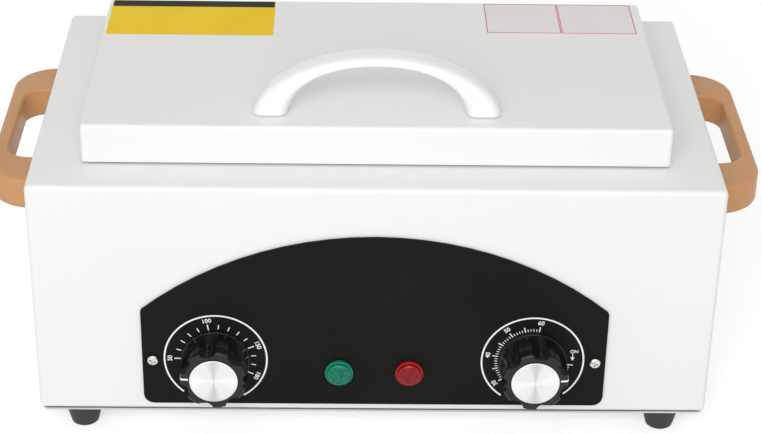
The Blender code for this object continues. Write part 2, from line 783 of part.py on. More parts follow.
def make_support_channels():
    """Two folded channels that carry the insulated tank on the bottom plate."""
    half = JACKET_Y - CHANNEL_END_MARGIN
    low = PLATE_TOP + GAP
    for side in (-1, 1):
        x = side * CHANNEL_PLACE
        channel = block(
            (x - CHANNEL_WIDTH / 2, -half, low), (x + CHANNEL_WIDTH / 2, half, JACKET_BOTTOM - GAP)
        )
        inside = block(
            (x - CHANNEL_WIDTH / 2 + CHANNEL_SHEET, -half - OVERRUN, low - OVERRUN),
            (x + CHANNEL_WIDTH / 2 - CHANNEL_SHEET, half + OVERRUN, JACKET_BOTTOM - GAP - CHANNEL_SHEET),
        )
        combine(channel, as_cutter(inside, "channel_inside_" + side_name(side)))
        fit(channel, "support_channel_" + side_name(side), ZINC_STEEL, case)


def panel_outline():
    """The panel seen from the front: straight sides under a shallow round crown."""
    top = PANEL_BOTTOM + PANEL_SIDE
    radius = (PANEL_HALF_WIDTH ** 2 + PANEL_CROWN ** 2) / (2 * PANEL_CROWN)
    sweep = math.asin(PANEL_HALF_WIDTH / radius)
    centre = top + PANEL_CROWN - radius
    corners = [
        (-PANEL_HALF_WIDTH, PANEL_BOTTOM, PANEL_LOW_CORNER),
        (PANEL_HALF_WIDTH, PANEL_BOTTOM, PANEL_LOW_CORNER),
    ]
    for n in range(PANEL_ARC_STEPS + 1):
        angle = sweep * (1 - 2 * n / PANEL_ARC_STEPS)
        fillet = PANEL_HIGH_CORNER if n in (0, PANEL_ARC_STEPS) else 0
        corners.append((radius * math.sin(angle), centre + radius * math.cos(angle), fillet))
    return rounded(corners, steps=4)


def make_control_panel():
    """The black front plate with its dial, lamp and screw holes."""
    middle = (0, FRONT_FACE - GAP - PANEL_THICKNESS / 2, 0)
    panel = slab(panel_outline(), PANEL_THICKNESS, middle, "front")
    through = PANEL_THICKNESS + 2 * OVERRUN
    start = PANEL_FACE - OVERRUN
    for side in (-1, 1):
        word = side_name(side)
        neck = rod(NECK_RADIUS + GAP, (side * DIAL_PLACE, start, DIAL_HEIGHT), through, "back")
        combine(panel, as_cutter(neck, "panel_neck_hole_" + word))
        lamp = rod(LAMP_BARREL_RADIUS + GAP, (side * LAMP_PLACE, start, LAMP_HEIGHT), through, "back")
        combine(panel, as_cutter(lamp, "panel_lamp_hole_" + word))
        place = (side * PANEL_SCREW_PLACE, start, PANEL_SCREW_LEVEL)
        hole = rod(PANEL_SCREW_RADIUS + GAP, place, through, "back", sides=8)
        combine(panel, as_cutter(hole, "panel_screw_hole_" + word))
        screw = pan_head_screw(
            PANEL_SCREW_RADIUS, PANEL_THICKNESS + 2 * GAP + SHEET + PANEL_SCREW_REACH,
            PANEL_SCREW_HEAD, PANEL_SCREW_HEAD_HEIGHT,
            (side * PANEL_SCREW_PLACE, PANEL_FACE - GAP, PANEL_SCREW_LEVEL), "front",
        )
        fit(screw, "panel_screw_" + word, NICKEL, case)
    fit(panel, "control_panel", BLACK_PANEL, case)


def make_control(name, x, width, height, finish):
    """A control body on the back of the case front, its neck through the panel."""
    housing = block(
        (x - width / 2, CONTROL_FRONT, DIAL_HEIGHT - height / 2),
        (x + width / 2, CONTROL_BACK, DIAL_HEIGHT + height / 2),
    )
    rounded_edges(housing, CONTROL_EDGE, segments=1)
    neck_end = PANEL_FACE - NECK_STAND
    neck = rod(NECK_RADIUS, (x, neck_end, DIAL_HEIGHT), CONTROL_FRONT + OVERRUN - neck_end, "back")
    combine(housing, as_cutter(neck, name + "_neck"), "UNION")
    for n in (-1, 1):
        spot = x + n * width * SPADE_PLACE_SHARE
        spade = block(
            (spot - SPADE_THICKNESS / 2, CONTROL_BACK - OVERRUN, DIAL_HEIGHT - SPADE_WIDTH / 2),
            (spot + SPADE_THICKNESS / 2, CONTROL_BACK + SPADE_LENGTH, DIAL_HEIGHT + SPADE_WIDTH / 2),
        )
        combine(housing, as_cutter(spade, f"{name}_spade_{n}"), "UNION")
    depth = CONTROL_FRONT + SPINDLE_DEPTH + SPINDLE_END_GAP - neck_end
    bore = rod(
        SPINDLE_RADIUS + GAP, (x, neck_end - OVERRUN, DIAL_HEIGHT), depth + OVERRUN, "back", sides=12
    )
    combine(housing, as_cutter(bore, name + "_bore"))
    fit(housing, name, finish, case)


def make_capillary():
    """The thermostat's capillary and the bulb that lies under the tank."""
    bulb_start = BULB_START - DIAL_PLACE
    between = (CONTROL_BACK - JACKET_Y) / 2
    corners = [
        (-DIAL_PLACE, CONTROL_BACK + GAP, DIAL_HEIGHT),
        (-DIAL_PLACE, between, DIAL_HEIGHT),
        (-DIAL_PLACE, between, BULB_LEVEL),
        (-DIAL_PLACE, BULB_Y, BULB_LEVEL),
        (bulb_start, BULB_Y, BULB_LEVEL),
    ]
    path = bent(corners, CAPILLARY_BEND)
    swell = [1] * len(path)
    fat = BULB_RADIUS / CAPILLARY_RADIUS
    for along, thick in ((BULB_RADIUS, fat), (BULB_LENGTH, fat), (BULB_LENGTH + BULB_RADIUS, 1)):
        path.append(Vector((bulb_start + along, BULB_Y, BULB_LEVEL)))
        swell.append(thick)
    fit(tube(path, CAPILLARY_RADIUS, swell), "thermostat_bulb", COPPER, case)


def spindle_outline(clearance):
    """The round spindle with its flat, and the bore that takes it."""
    radius = SPINDLE_RADIUS + clearance
    flat = SPINDLE_FLAT + clearance
    edge = math.acos(flat / radius)
    outline = []
    for n in range(SPINDLE_STEPS + 1):
        angle = edge + (2 * math.pi - 2 * edge) * n / SPINDLE_STEPS
        outline.append(Vector((radius * math.cos(angle), radius * math.sin(angle))))
    return outline


def make_knob(name, spindle_name, x, pointer, body):
    """A moulded knob with eight flutes, its spun cap and its spindle."""
    shoulder = KNOB_HEIGHT - KNOB_SHOULDER
    cap_bore = CAP_RADIUS + GAP
    rim = (KNOB_RADIUS - KNOB_DRAFT + cap_bore) / 2
    profile = [
        (0, KNOB_HEIGHT - CAP_SEAT), (cap_bore, KNOB_HEIGHT - CAP_SEAT), (cap_bore, KNOB_HEIGHT),
        (rim, KNOB_HEIGHT), (KNOB_RADIUS - KNOB_ROUND_OFF, KNOB_HEIGHT - KNOB_SHOULDER * KNOB_ROUND_SHARE),
        (KNOB_RADIUS - KNOB_DRAFT, shoulder), (KNOB_RADIUS, KNOB_FLANGE_HEIGHT + GAP),
        (KNOB_FLANGE_RADIUS, KNOB_FLANGE_HEIGHT), (KNOB_FLANGE_RADIUS, 0),
        (KNOB_HUB_RADIUS, 0), (KNOB_HUB_RADIUS, KNOB_HUB_DEPTH), (0, KNOB_HUB_DEPTH),
    ]
    knob = turned(profile, (x, KNOB_BACK, DIAL_HEIGHT), "front", steps=KNOB_STEPS)
    lean = math.atan2(KNOB_DRAFT, shoulder - KNOB_FLANGE_HEIGHT)
    centre = KNOB_RADIUS - FLUTE_DEPTH + FLUTE_RADIUS
    length = KNOB_HEIGHT - KNOB_FLANGE_HEIGHT - GAP + OVERRUN
    for n in range(FLUTE_COUNT):
        turn = pointer + 2 * math.pi * (n + 1 / 2) / FLUTE_COUNT
        flute = rod(FLUTE_RADIUS, (0, 0, 0), length, "front", sides=16)
        place = Matrix.Translation((x, KNOB_BACK - KNOB_FLANGE_HEIGHT - GAP, DIAL_HEIGHT))
        around = Matrix.Rotation(-turn, 4, "Y")
        out = Matrix.Translation((centre, 0, 0))
        flute.matrix_basis = place @ around @ out @ Matrix.Rotation(-lean, 4, "Z")
        combine(knob, as_cutter(flute, f"{name}_flute_{n}"))
    hub_floor = KNOB_BACK - KNOB_HUB_DEPTH
    bore_end = KNOB_BACK - KNOB_BORE_DEPTH
    bore = slab(
        spindle_outline(GAP), hub_floor + OVERRUN - bore_end,
        (x, (hub_floor + OVERRUN + bore_end) / 2, DIAL_HEIGHT), "front",
    )
    combine(knob, as_cutter(bore, name + "_bore"))
    fit(knob, name, BLACK_PHENOLIC, body)
    spindle_end = CONTROL_FRONT + SPINDLE_DEPTH
    spindle_tip = bore_end + SPINDLE_END_GAP
    spindle = slab(
        spindle_outline(0), spindle_end - spindle_tip,
        (x, (spindle_end + spindle_tip) / 2, DIAL_HEIGHT), "front",
    )
    fit(spindle, spindle_name, NICKEL, body)
    profile = [
        (0, CAP_THICKNESS), (CAP_RADIUS - CAP_CHAMFER, CAP_THICKNESS),
        (CAP_RADIUS, CAP_THICKNESS - CAP_CHAMFER), (CAP_RADIUS, 0), (0, 0),
    ]
    seat = KNOB_BACK - KNOB_HEIGHT + CAP_SEAT - GAP
    cap = turned(profile, (x, seat, DIAL_HEIGHT), "front", steps=KNOB_STEPS)
    fit(cap, name + "_cap", SPUN_ALUMINIUM, body)


def make_lamp(colour, side, finish):
    """A signal lamp: a barrel through the panel under a stepped coloured lens."""
    x = side * LAMP_PLACE
    profile = [
        (0, -LAMP_BARREL_LENGTH / 2), (LAMP_BORE_RADIUS, -LAMP_BARREL_LENGTH / 2), (LAMP_BORE_RADIUS, 0),
        (LAMP_BARREL_RADIUS, 0), (LAMP_BARREL_RADIUS, -LAMP_BARREL_LENGTH), (0, -LAMP_BARREL_LENGTH),
    ]
    barrel = turned(profile, (x, PANEL_FACE, LAMP_HEIGHT), "front", steps=14)
    fit(barrel, colour + "_lamp_holder", WHITE_PLASTIC, case)
    shoulder = LENS_RADIUS * LENS_SHOULDER_SHARE
    edge = LENS_HEIGHT - LENS_CROWN
    profile = [
        (0, LENS_HEIGHT), (shoulder, LENS_HEIGHT - LENS_CROWN * LENS_CROWN_SHARE),
        (LENS_RADIUS - LENS_CHAMFER, edge), (LENS_RADIUS, edge - LENS_CHAMFER),
        (LENS_RADIUS, LENS_FLANGE_HEIGHT), (LENS_FLANGE_RADIUS - LENS_CHAMFER, LENS_FLANGE_HEIGHT),
        (LENS_FLANGE_RADIUS, LENS_FLANGE_HEIGHT - LENS_CHAMFER), (LENS_FLANGE_RADIUS, 0),
        (LENS_HOLLOW_RADIUS, 0), (LENS_HOLLOW_RADIUS, LENS_HOLLOW_DEPTH), (0, LENS_HOLLOW_DEPTH),
    ]
    lens = turned(profile, (x, PANEL_FACE - GAP, LAMP_HEIGHT), "front", steps=20)
    fit(lens, colour + "_lamp_lens", finish, case)


def make_side_handles():
    """A moulded loop on each end of the case, screwed on from inside."""
    tip = GRIP_ROOT + GRIP_REACH
    inner = tip - GRIP_THICKNESS
    low = -GRIP_HALF_LENGTH - GRIP_SETBACK
    high = GRIP_HALF_LENGTH - GRIP_SETBACK
    near = -GRIP_OPENING - GRIP_SETBACK
    far = GRIP_OPENING - GRIP_SETBACK
    for side in (-1, 1):
        word = side_name(side)
        corners = [
            (side * GRIP_ROOT, low, 0), (side * tip, low, GRIP_OUTER_CORNER),
            (side * tip, high, GRIP_OUTER_CORNER), (side * GRIP_ROOT, high, 0),
            (side * GRIP_ROOT, far, 0), (side * inner, far, GRIP_INNER_CORNER),
            (side * inner, near, GRIP_INNER_CORNER), (side * GRIP_ROOT, near, 0),
        ]
        grip = slab(rounded(corners, steps=5), GRIP_HEIGHT, (0, 0, GRIP_LEVEL))
        rounded_edges(grip, GRIP_EDGE)
        inward = "left" if side > 0 else "right"
        outward = "right" if side > 0 else "left"
        for end in (-1, 1):
            y = end * GRIP_SCREW_OFFSET - GRIP_SETBACK
            seat = HALF_WIDTH - SHEET - GAP
            reach = SHEET + 2 * GAP + GRIP_SCREW_REACH
            place = (side * (GRIP_ROOT - OVERRUN), y, GRIP_LEVEL)
            depth = GRIP_SCREW_REACH + OVERRUN + GAP
            hole = rod(GRIP_SCREW_RADIUS + GAP, place, depth, outward, sides=12)
            combine(grip, as_cutter(hole, f"grip_screw_hole_{word}_{end}"))
            screw = pan_head_screw(
                GRIP_SCREW_RADIUS, reach, GRIP_SCREW_HEAD, GRIP_SCREW_HEAD_HEIGHT,
                (side * seat, y, GRIP_LEVEL), inward,
            )
            spot = "rear_" if end > 0 else "front_"
            fit(screw, "handle_screw_" + spot + word, ZINC_STEEL, case)
        fit(grip, "side_handle_" + word, TAN_PLASTIC, case)


def make_cord_gland():
    """The cord inlet in the back wall, held by a hexagon nut inside."""
    place = (GLAND_PLACE, BACK_FACE + GAP, GLAND_LEVEL)
    tip = GLAND_REACH - GAP
    profile = [
        (GLAND_BORE_RADIUS, tip), (GLAND_DOME_RADIUS - GLAND_ROUND, tip),
        (GLAND_DOME_RADIUS, tip - GLAND_ROUND), (GLAND_DOME_RADIUS, GLAND_FLANGE_HEIGHT),
        (GLAND_FLANGE_RADIUS, GLAND_FLANGE_HEIGHT), (GLAND_FLANGE_RADIUS, 0),
        (GLAND_BARREL_RADIUS, 0), (GLAND_BARREL_RADIUS, -GLAND_DEPTH), (GLAND_BORE_RADIUS, -GLAND_DEPTH),
    ]
    gland = turned(profile, place, "back", steps=16, closed=True)
    fit(gland, "cord_gland", BLACK_PHENOLIC, case)
    start = BACK_FACE - SHEET - GAP
    place = (GLAND_PLACE, start, GLAND_LEVEL)
    nut = rod(GLAND_NUT_RADIUS, place, GLAND_NUT_HEIGHT, "front", sides=6)
    place = (GLAND_PLACE, start + OVERRUN, GLAND_LEVEL)
    length = GLAND_NUT_HEIGHT + 2 * OVERRUN
    bore = rod(GLAND_BARREL_RADIUS + GAP, place, length, "front", sides=16)
    combine(nut, as_cutter(bore, "gland_nut_bore"))
    fit(nut, "gland_nut", BLACK_PHENOLIC, case)


def make_terminal_block():
    """The block that joins the cord to the element and the controls."""
    y = BACK_FACE - TERMINAL_SETBACK
    low = PLATE_TOP + GAP
    housing = block(
        (TERMINAL_PLACE - TERMINAL_WIDTH / 2, y - TERMINAL_DEPTH / 2, low),
        (TERMINAL_PLACE + TERMINAL_WIDTH / 2, y + TERMINAL_DEPTH / 2, low + TERMINAL_HEIGHT),
    )
    pitch = TERMINAL_WIDTH / TERMINAL_WAYS
    for n in range(TERMINAL_WAYS):
        x = TERMINAL_PLACE + (n - (TERMINAL_WAYS - 1) / 2) * pitch
        place = (x, y, low + TERMINAL_HEIGHT - TERMINAL_WELL_DEPTH)
        well = rod(TERMINAL_WELL_RADIUS, place, TERMINAL_WELL_DEPTH + OVERRUN, "up", sides=12)
        combine(housing, as_cutter(well, f"terminal_well_{n}"))
    fit(housing, "terminal_block", WHITE_PLASTIC, case)


def make_lid():
    """The lid: an enamelled cover over an insulated stainless liner."""
    cover = open_block((-LID_X, LID_FRONT, LID_BOTTOM), (LID_X, LID_BACK, LID_TOP), -1)
    rounded_edges(cover, LID_BEND_RADIUS)
    walled(cover, SHEET)
    for side in (-1, 1):
        place = (side * ARCH_SCREW_PLACE, ARCH_MIDDLE, LID_TOP - SHEET - OVERRUN)
        hole = rod(ARCH_SCREW_RADIUS + GAP, place, SHEET + 2 * OVERRUN, "up", sides=12)
        combine(cover, as_cutter(hole, "lid_screw_hole_" + side_name(side)))
    fit(cover, "lid_shell", WHITE_ENAMEL, lid)
    liner = open_block(
        (-LINER_X, LID_MIDDLE - LINER_Y, LINER_BOTTOM),
        (LINER_X, LID_MIDDLE + LINER_Y, LINER_BOTTOM + LINER_LIP),
        1,
    )
    rounded_edges(liner, LID_BEND_RADIUS, segments=1)
    walled(liner, PAN_SHEET)
    fit(liner, "lid_liner", STAINLESS, lid)
    inside_x = LINER_X - PAN_SHEET - GAP
    inside_y = LINER_Y - PAN_SHEET - GAP
    wool = block(
        (-inside_x, LID_MIDDLE - inside_y, LINER_BOTTOM + PAN_SHEET + GAP),
        (inside_x, LID_MIDDLE + inside_y, LID_TOP - SHEET - LID_AIR_SPACE),
    )
    rounded_edges(wool, LID_BEND_RADIUS, segments=1)
    fit(wool, "lid_insulation", MINERAL_WOOL, lid)


def arch_curve(half_length, rise):
    """Half of a squared-up ellipse, from its right foot over the top to its left."""
    power = 2 / ARCH_ROUNDNESS
    points = []
    for n in range(ARCH_STEPS + 1):
        angle = math.pi * n / ARCH_STEPS
        across = math.copysign(abs(math.cos(angle)) ** power, math.cos(angle))
        points.append(Vector((half_length * across, rise * abs(math.sin(angle)) ** power)))
    return points


def make_lid_handle():
    """The moulded arch on the front of the lid and the screws that hold it."""
    outline = arch_curve(ARCH_HALF_LENGTH, ARCH_RISE)
    outline += reversed(arch_curve(ARCH_INNER_HALF, ARCH_INNER_RISE))
    base = LID_TOP + GAP
    arch = slab(outline, ARCH_DEPTH, (0, ARCH_MIDDLE, base), "front")
    rounded_edges(arch, ARCH_EDGE)
    seat = LID_TOP - SHEET - GAP
    for side in (-1, 1):
        word = side_name(side)
        x = side * ARCH_SCREW_PLACE
        depth = ARCH_SCREW_REACH + OVERRUN + GAP
        hole = rod(ARCH_SCREW_RADIUS + GAP, (x, ARCH_MIDDLE, base - OVERRUN), depth, "up", sides=12)
        combine(arch, as_cutter(hole, "arch_screw_hole_" + word))
        screw = pan_head_screw(
            ARCH_SCREW_RADIUS, SHEET + 2 * GAP + ARCH_SCREW_REACH, ARCH_SCREW_HEAD,
            ARCH_SCREW_HEAD_HEIGHT, (x, ARCH_MIDDLE, seat), "down",
        )
        fit(screw, "lid_handle_screw_" + word, ZINC_STEEL, lid)
    fit(arch, "lid_handle", WHITE_PLASTIC, lid)


def leaf_section(reach):
    """A hinge leaf's section: a flat strip that curls into a barrel at its end."""
    radius = HINGE_BARREL_RADIUS
    strip_top = HINGE_LEAF_THICKNESS - radius
    start = math.asin(strip_top / radius)
    end = math.pi * 3 / 2
    outline = [Vector((reach, -radius)), Vector((reach, strip_top))]
    for n in range(HINGE_ARC_STEPS + 1):
        angle = start + (end - start) * n / HINGE_ARC_STEPS
        outline.append(Vector((radius * math.cos(angle), radius * math.sin(angle))))
    return outline


def make_hinge(side):
    """One hinge: a leaf on the case, a leaf on the lid and the pin through both."""
    word = side_name(side)
    axis = Vector((side * HINGE_PLACE, HINGE_Y, HINGE_Z))
    clear = HINGE_BARREL_RADIUS + HINGE_NOTCH
    far = HINGE_BODY_LEAF + OVERRUN
    case_leaf = length_of_section(leaf_section(HINGE_BODY_LEAF), HINGE_LENGTH, axis)
    upright = [Vector((y, x)) for x, y in reversed(leaf_section(HINGE_LID_LEAF))]
    lid_leaf = length_of_section(upright, HINGE_LENGTH, axis)
    for n in range(HINGE_KNUCKLES):
        middle = axis.x + (n - (HINGE_KNUCKLES - 1) / 2) * KNUCKLE_LENGTH
        low = middle - KNUCKLE_LENGTH / 2 - GAP / 2
        high = middle + KNUCKLE_LENGTH / 2 + GAP / 2
        if n == 0:
            low -= OVERRUN
        if n == HINGE_KNUCKLES - 1:
            high += OVERRUN
        if n % 2 == 0:
            notch = block((low, axis.y - far, axis.z - far), (high, axis.y + far, axis.z + clear))
            combine(lid_leaf, as_cutter(notch, f"lid_leaf_notch_{word}_{n}"))
        else:
            notch = block((low, axis.y - far, axis.z - far), (high, axis.y + clear, axis.z + far))
            combine(case_leaf, as_cutter(notch, f"case_leaf_notch_{word}_{n}"))
    spread = HINGE_LENGTH * RIVET_PLACE_SHARE
    for n in (-1, 1):
        x = axis.x + n * spread
        base = HINGE_LEAF_THICKNESS - HINGE_BARREL_RADIUS - HINGE_LEAF_THICKNESS / 2
        length = RIVET_HEIGHT + HINGE_LEAF_THICKNESS / 2
        place = (x, axis.y + HINGE_BODY_LEAF * RIVET_REACH_SHARE, axis.z + base)
        rivet = rod(RIVET_RADIUS, place, length, "up", sides=8)
        combine(case_leaf, as_cutter(rivet, f"case_leaf_rivet_{word}_{n}"), "UNION")
        place = (x, axis.y + base, axis.z + HINGE_LID_LEAF * RIVET_REACH_SHARE)
        rivet = rod(RIVET_RADIUS, place, length, "back", sides=8)
        combine(lid_leaf, as_cutter(rivet, f"lid_leaf_rivet_{word}_{n}"), "UNION")
    start = axis - Vector((HINGE_LENGTH / 2 + OVERRUN, 0, 0))
    bore = rod(HINGE_PIN_RADIUS + GAP, start, HINGE_LENGTH + 2 * OVERRUN, "right", sides=10)
    as_cutter(bore, "hinge_bore_" + word)
    combine(case_leaf, bore)
    combine(lid_leaf, bore)
    fit(case_leaf, f"hinge_{word}_case_leaf", NICKEL, case)
    fit(lid_leaf, f"hinge_{word}_lid_leaf", NICKEL, lid)
    half = HINGE_LENGTH / 2 + GAP
    head = half + HINGE_PIN_HEAD_LENGTH
    profile = [
        (0, head), (HINGE_PIN_HEAD, head), (HINGE_PIN_HEAD, half), (HINGE_PIN_RADIUS, half),
        (HINGE_PIN_RADIUS, -half), (HINGE_PIN_HEAD, -half), (HINGE_PIN_HEAD, -head), (0, -head),
    ]
    fit(turned(profile, axis, "right", steps=10), f"hinge_{word}_pin", NICKEL, case)


def make_tray():
    """The perforated instrument tray and its two wire handles."""
    rim_x = TRAY_X + TRAY_RIM
    rim_y = TRAY_Y + TRAY_RIM
    pan = prism_block(
        (-TRAY_X, -TRAY_Y, TRAY_BOTTOM), (TRAY_X, TRAY_Y, TRAY_TOP - PAN_SHEET / 2), TRAY_CORNER
    )
    rim = prism_block(
        (-rim_x, -rim_y, TRAY_TOP - PAN_SHEET), (rim_x, rim_y, TRAY_TOP), TRAY_CORNER + TRAY_RIM
    )
    combine(pan, as_cutter(rim, "tray_rim"), "UNION")
    inner_x = TRAY_X - PAN_SHEET
    inner_y = TRAY_Y - PAN_SHEET
    hollow = prism_block(
        (-inner_x, -inner_y, TRAY_BOTTOM + PAN_SHEET), (inner_x, inner_y, TRAY_TOP + OVERRUN),
        TRAY_CORNER - PAN_SHEET,
    )
    combine(pan, as_cutter(hollow, "tray_hollow"))
    reach_x = inner_x - TRAY_HOLE_MARGIN
    reach_y = inner_y - TRAY_HOLE_MARGIN
    holes = bmesh.new()
    for row in range(TRAY_HOLES_Y):
        for n in range(TRAY_HOLES_X):
            x = reach_x * (2 * n / (TRAY_HOLES_X - 1) - 1)
            y = reach_y * (2 * row / (TRAY_HOLES_Y - 1) - 1)
            place = Matrix.Translation((x, y, TRAY_BOTTOM))
            bmesh.ops.create_cone(
                holes, cap_ends=True, segments=8, radius1=TRAY_HOLE_RADIUS,
                radius2=TRAY_HOLE_RADIUS, depth=2 * OVERRUN, matrix=place,
            )
    mesh = bpy.data.meshes.new("tray_holes")
    holes.to_mesh(mesh)
    holes.free()
    punch = bpy.data.objects.new("tray_holes", mesh)
    bpy.context.scene.collection.objects.link(punch)
    combine(pan, as_cutter(punch, "tray_holes"))
    fit(pan, "instrument_tray", STAINLESS, tray)
    for side in (-1, 1):
        x = side * (inner_x - GAP - BAIL_RADIUS)
        foot = TRAY_TOP - BAIL_DROP
        head = TRAY_TOP + BAIL_RISE
        corners = [
            (x, -BAIL_HALF_WIDTH, foot), (x, -BAIL_HALF_WIDTH, head),
            (x, BAIL_HALF_WIDTH, head), (x, BAIL_HALF_WIDTH, foot),
        ]
        bail = tube(bent(corners, BAIL_BEND), BAIL_RADIUS)
        fit(bail, "tray_handle_" + side_name(side), STAINLESS, tray)


start_clean()

WHITE_ENAMEL = colour_finish("white_enamel", (0.86, 0.86, 0.83), 0.35)
STAINLESS = colour_finish("stainless_steel", (0.62, 0.62, 0.60), 0.28, 1.0)
ZINC_STEEL = colour_finish("zinc_plated_steel", (0.60, 0.61, 0.62), 0.40, 1.0)
NICKEL = colour_finish("nickel_plated_steel", (0.70, 0.69, 0.66), 0.25, 1.0)
ELEMENT_STEEL = colour_finish("element_steel", (0.22, 0.21, 0.20), 0.50, 1.0)
COPPER = colour_finish("copper", (0.72, 0.38, 0.22), 0.35, 1.0)
SPUN_ALUMINIUM = colour_finish("spun_aluminium", (0.80, 0.80, 0.80), 0.30, 1.0)
MINERAL_WOOL = colour_finish("mineral_wool", (0.75, 0.70, 0.52), 0.95)
CERAMIC = colour_finish("ceramic", (0.85, 0.83, 0.78), 0.60)
BLACK_PANEL = colour_finish("black_panel_paint", (0.015, 0.015, 0.014), 0.35)
BLACK_PHENOLIC = colour_finish("black_phenolic", (0.012, 0.012, 0.012), 0.30)
WHITE_PLASTIC = colour_finish("white_plastic", (0.90, 0.90, 0.89), 0.25)
TAN_PLASTIC = colour_finish("tan_plastic", (0.50, 0.26, 0.12), 0.40)
RUBBER = colour_finish("black_rubber", (0.02, 0.02, 0.02), 0.80)
GREEN_LENS = colour_finish("green_lens", (0.0, 0.30, 0.16), 0.15)
RED_LENS = colour_finish("red_lens", (0.52, 0.01, 0.015), 0.15)

case = carrier("case_carrier", (0, CASE_SHIFT, 0))
lid = carrier("lid_carrier", (0, HINGE_Y, HINGE_Z), case)
tray = carrier("tray_carrier", (0, 0, TRAY_BOTTOM), case)
left_spindle = carrier("temperature_carrier", (-DIAL_PLACE, KNOB_BACK, DIAL_HEIGHT), case)
right_spindle = carrier("timer_carrier", (DIAL_PLACE, KNOB_BACK, DIAL_HEIGHT), case)

make_outer_shell()
make_bottom_plate()
make_feet()
make_inner_tank()
make_insulation_jacket()
make_heating_element()
make_support_channels()
make_control_panel()
make_control("thermostat", -DIAL_PLACE, THERMOSTAT_WIDTH, THERMOSTAT_HEIGHT, ZINC_STEEL)
make_control("timer", DIAL_PLACE, TIMER_WIDTH, TIMER_HEIGHT, BLACK_PHENOLIC)
make_capillary()
make_knob("temperature_knob", "thermostat_spindle", -DIAL_PLACE, math.pi, left_spindle)
make_knob("timer_knob", "timer_spindle", DIAL_PLACE, 0, right_spindle)
make_lamp("green", -1, GREEN_LENS)
make_lamp("red", 1, RED_LENS)
make_side_handles()
make_cord_gland()
make_terminal_block()
make_lid()
make_lid_handle()
make_hinge(-1)
make_hinge(1)
make_tray()
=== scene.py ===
import math

import bmesh
import bpy
from mathutils import Matrix, Vector


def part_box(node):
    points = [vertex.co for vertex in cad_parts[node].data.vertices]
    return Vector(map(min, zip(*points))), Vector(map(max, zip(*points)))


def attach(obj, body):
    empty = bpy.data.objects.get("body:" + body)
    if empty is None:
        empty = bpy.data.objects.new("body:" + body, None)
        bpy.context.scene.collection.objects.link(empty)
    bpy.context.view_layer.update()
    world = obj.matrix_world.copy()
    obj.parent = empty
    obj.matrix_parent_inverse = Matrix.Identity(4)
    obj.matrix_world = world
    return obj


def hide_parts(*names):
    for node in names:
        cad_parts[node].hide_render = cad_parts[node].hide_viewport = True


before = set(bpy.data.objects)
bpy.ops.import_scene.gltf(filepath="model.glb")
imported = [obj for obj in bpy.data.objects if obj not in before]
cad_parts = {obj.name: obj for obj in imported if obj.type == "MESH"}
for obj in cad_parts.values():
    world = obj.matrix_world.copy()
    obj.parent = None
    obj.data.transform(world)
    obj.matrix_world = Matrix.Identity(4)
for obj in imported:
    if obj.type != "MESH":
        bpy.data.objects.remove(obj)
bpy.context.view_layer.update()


# Camera
# A long lens stands in front of the machine and a little over it, looking down at its front and lid.
# Its place and lens were fitted to the corners of the case and the lid.
aim = 0.02133
tilt = 0.51982
roll = 0.01886
forward = Vector((math.sin(aim) * math.cos(tilt), math.cos(aim) * math.cos(tilt), -math.sin(tilt)))
level = Vector((math.cos(aim), -math.sin(aim), 0))
upright = level.cross(forward)
across = level * math.cos(roll) + upright * math.sin(roll)
upward = upright * math.cos(roll) - level * math.sin(roll)
stand = Vector((-0.015987, -0.93419, 0.606207))
bpy.ops.object.camera_add(location=stand)
camera = bpy.context.object
camera.matrix_world = Matrix.Translation(stand) @ Matrix((across, upward, -forward)).transposed().to_4x4()
camera.data.sensor_width = 36
camera.data.lens = 97.49
bpy.context.scene.camera = camera
bpy.context.scene.view_settings.view_transform = "Standard"


# Bench and studio light
# The machine stands on a plain pale bench under one large soft light in front of it and a pale room.
# Light Path lifts the bench and the room to white for the camera, metal and glass, and the shadow stays.
def new_finish(name, colour, roughness, metallic=0.0):
    """Makes a Principled material, and returns it with its nodes, links and shader."""
    finish = bpy.data.materials.new(name)
    finish.use_nodes = True
    shader = finish.node_tree.nodes["Principled BSDF"]
    shader.inputs["Base Color"].default_value = (*colour, 1)
    shader.inputs["Roughness"].default_value = roughness
    shader.inputs["Metallic"].default_value = metallic
    return finish, finish.node_tree.nodes, finish.node_tree.links, shader


def math_node(nodes, links, operation, *values):
    """Works out one step of maths on the given sockets, and returns its result."""
    step = nodes.new("ShaderNodeMath")
    step.operation = operation
    for number, value in enumerate(values):
        links.new(value, step.inputs[number])
    return step.outputs[0]


def seen_directly(nodes, links):
    """1 for what the camera, a reflection or clear plastic looks at, and 0 for light that falls on things."""
    path = nodes.new("ShaderNodeLightPath")
    shine = math_node(nodes, links, "MAXIMUM", path.outputs["Is Camera Ray"], path.outputs["Is Glossy Ray"])
    return math_node(nodes, links, "MAXIMUM", shine, path.outputs["Is Transmission Ray"])


bpy.ops.mesh.primitive_plane_add(size=12)
bench = bpy.context.object
bench.name = "bench_top"
bench_finish, nodes, links, shader = new_finish("bench_paint", (0.80, 0.80, 0.80), 0.9)
shader.inputs["Specular IOR Level"].default_value = 0.0
shader.inputs["Emission Color"].default_value = (1, 1, 1, 1)
lift = nodes.new("ShaderNodeMath")
lift.operation = "MULTIPLY"
lift.inputs[1].default_value = 0.46
links.new(seen_directly(nodes, links), lift.inputs[0])
links.new(lift.outputs[0], shader.inputs["Emission Strength"])
bench.data.materials.append(bench_finish)

room = bpy.data.worlds.new("pale_room")
bpy.context.scene.world = room
room.use_nodes = True
nodes = room.node_tree.nodes
links = room.node_tree.links
glow = nodes["Background"]
glow.inputs["Color"].default_value = (1, 1, 1, 1)
strength = nodes.new("ShaderNodeMapRange")
strength.inputs["To Min"].default_value = 0.52
strength.inputs["To Max"].default_value = 1.0
links.new(seen_directly(nodes, links), strength.inputs["Value"])
links.new(strength.outputs["Result"], glow.inputs["Strength"])

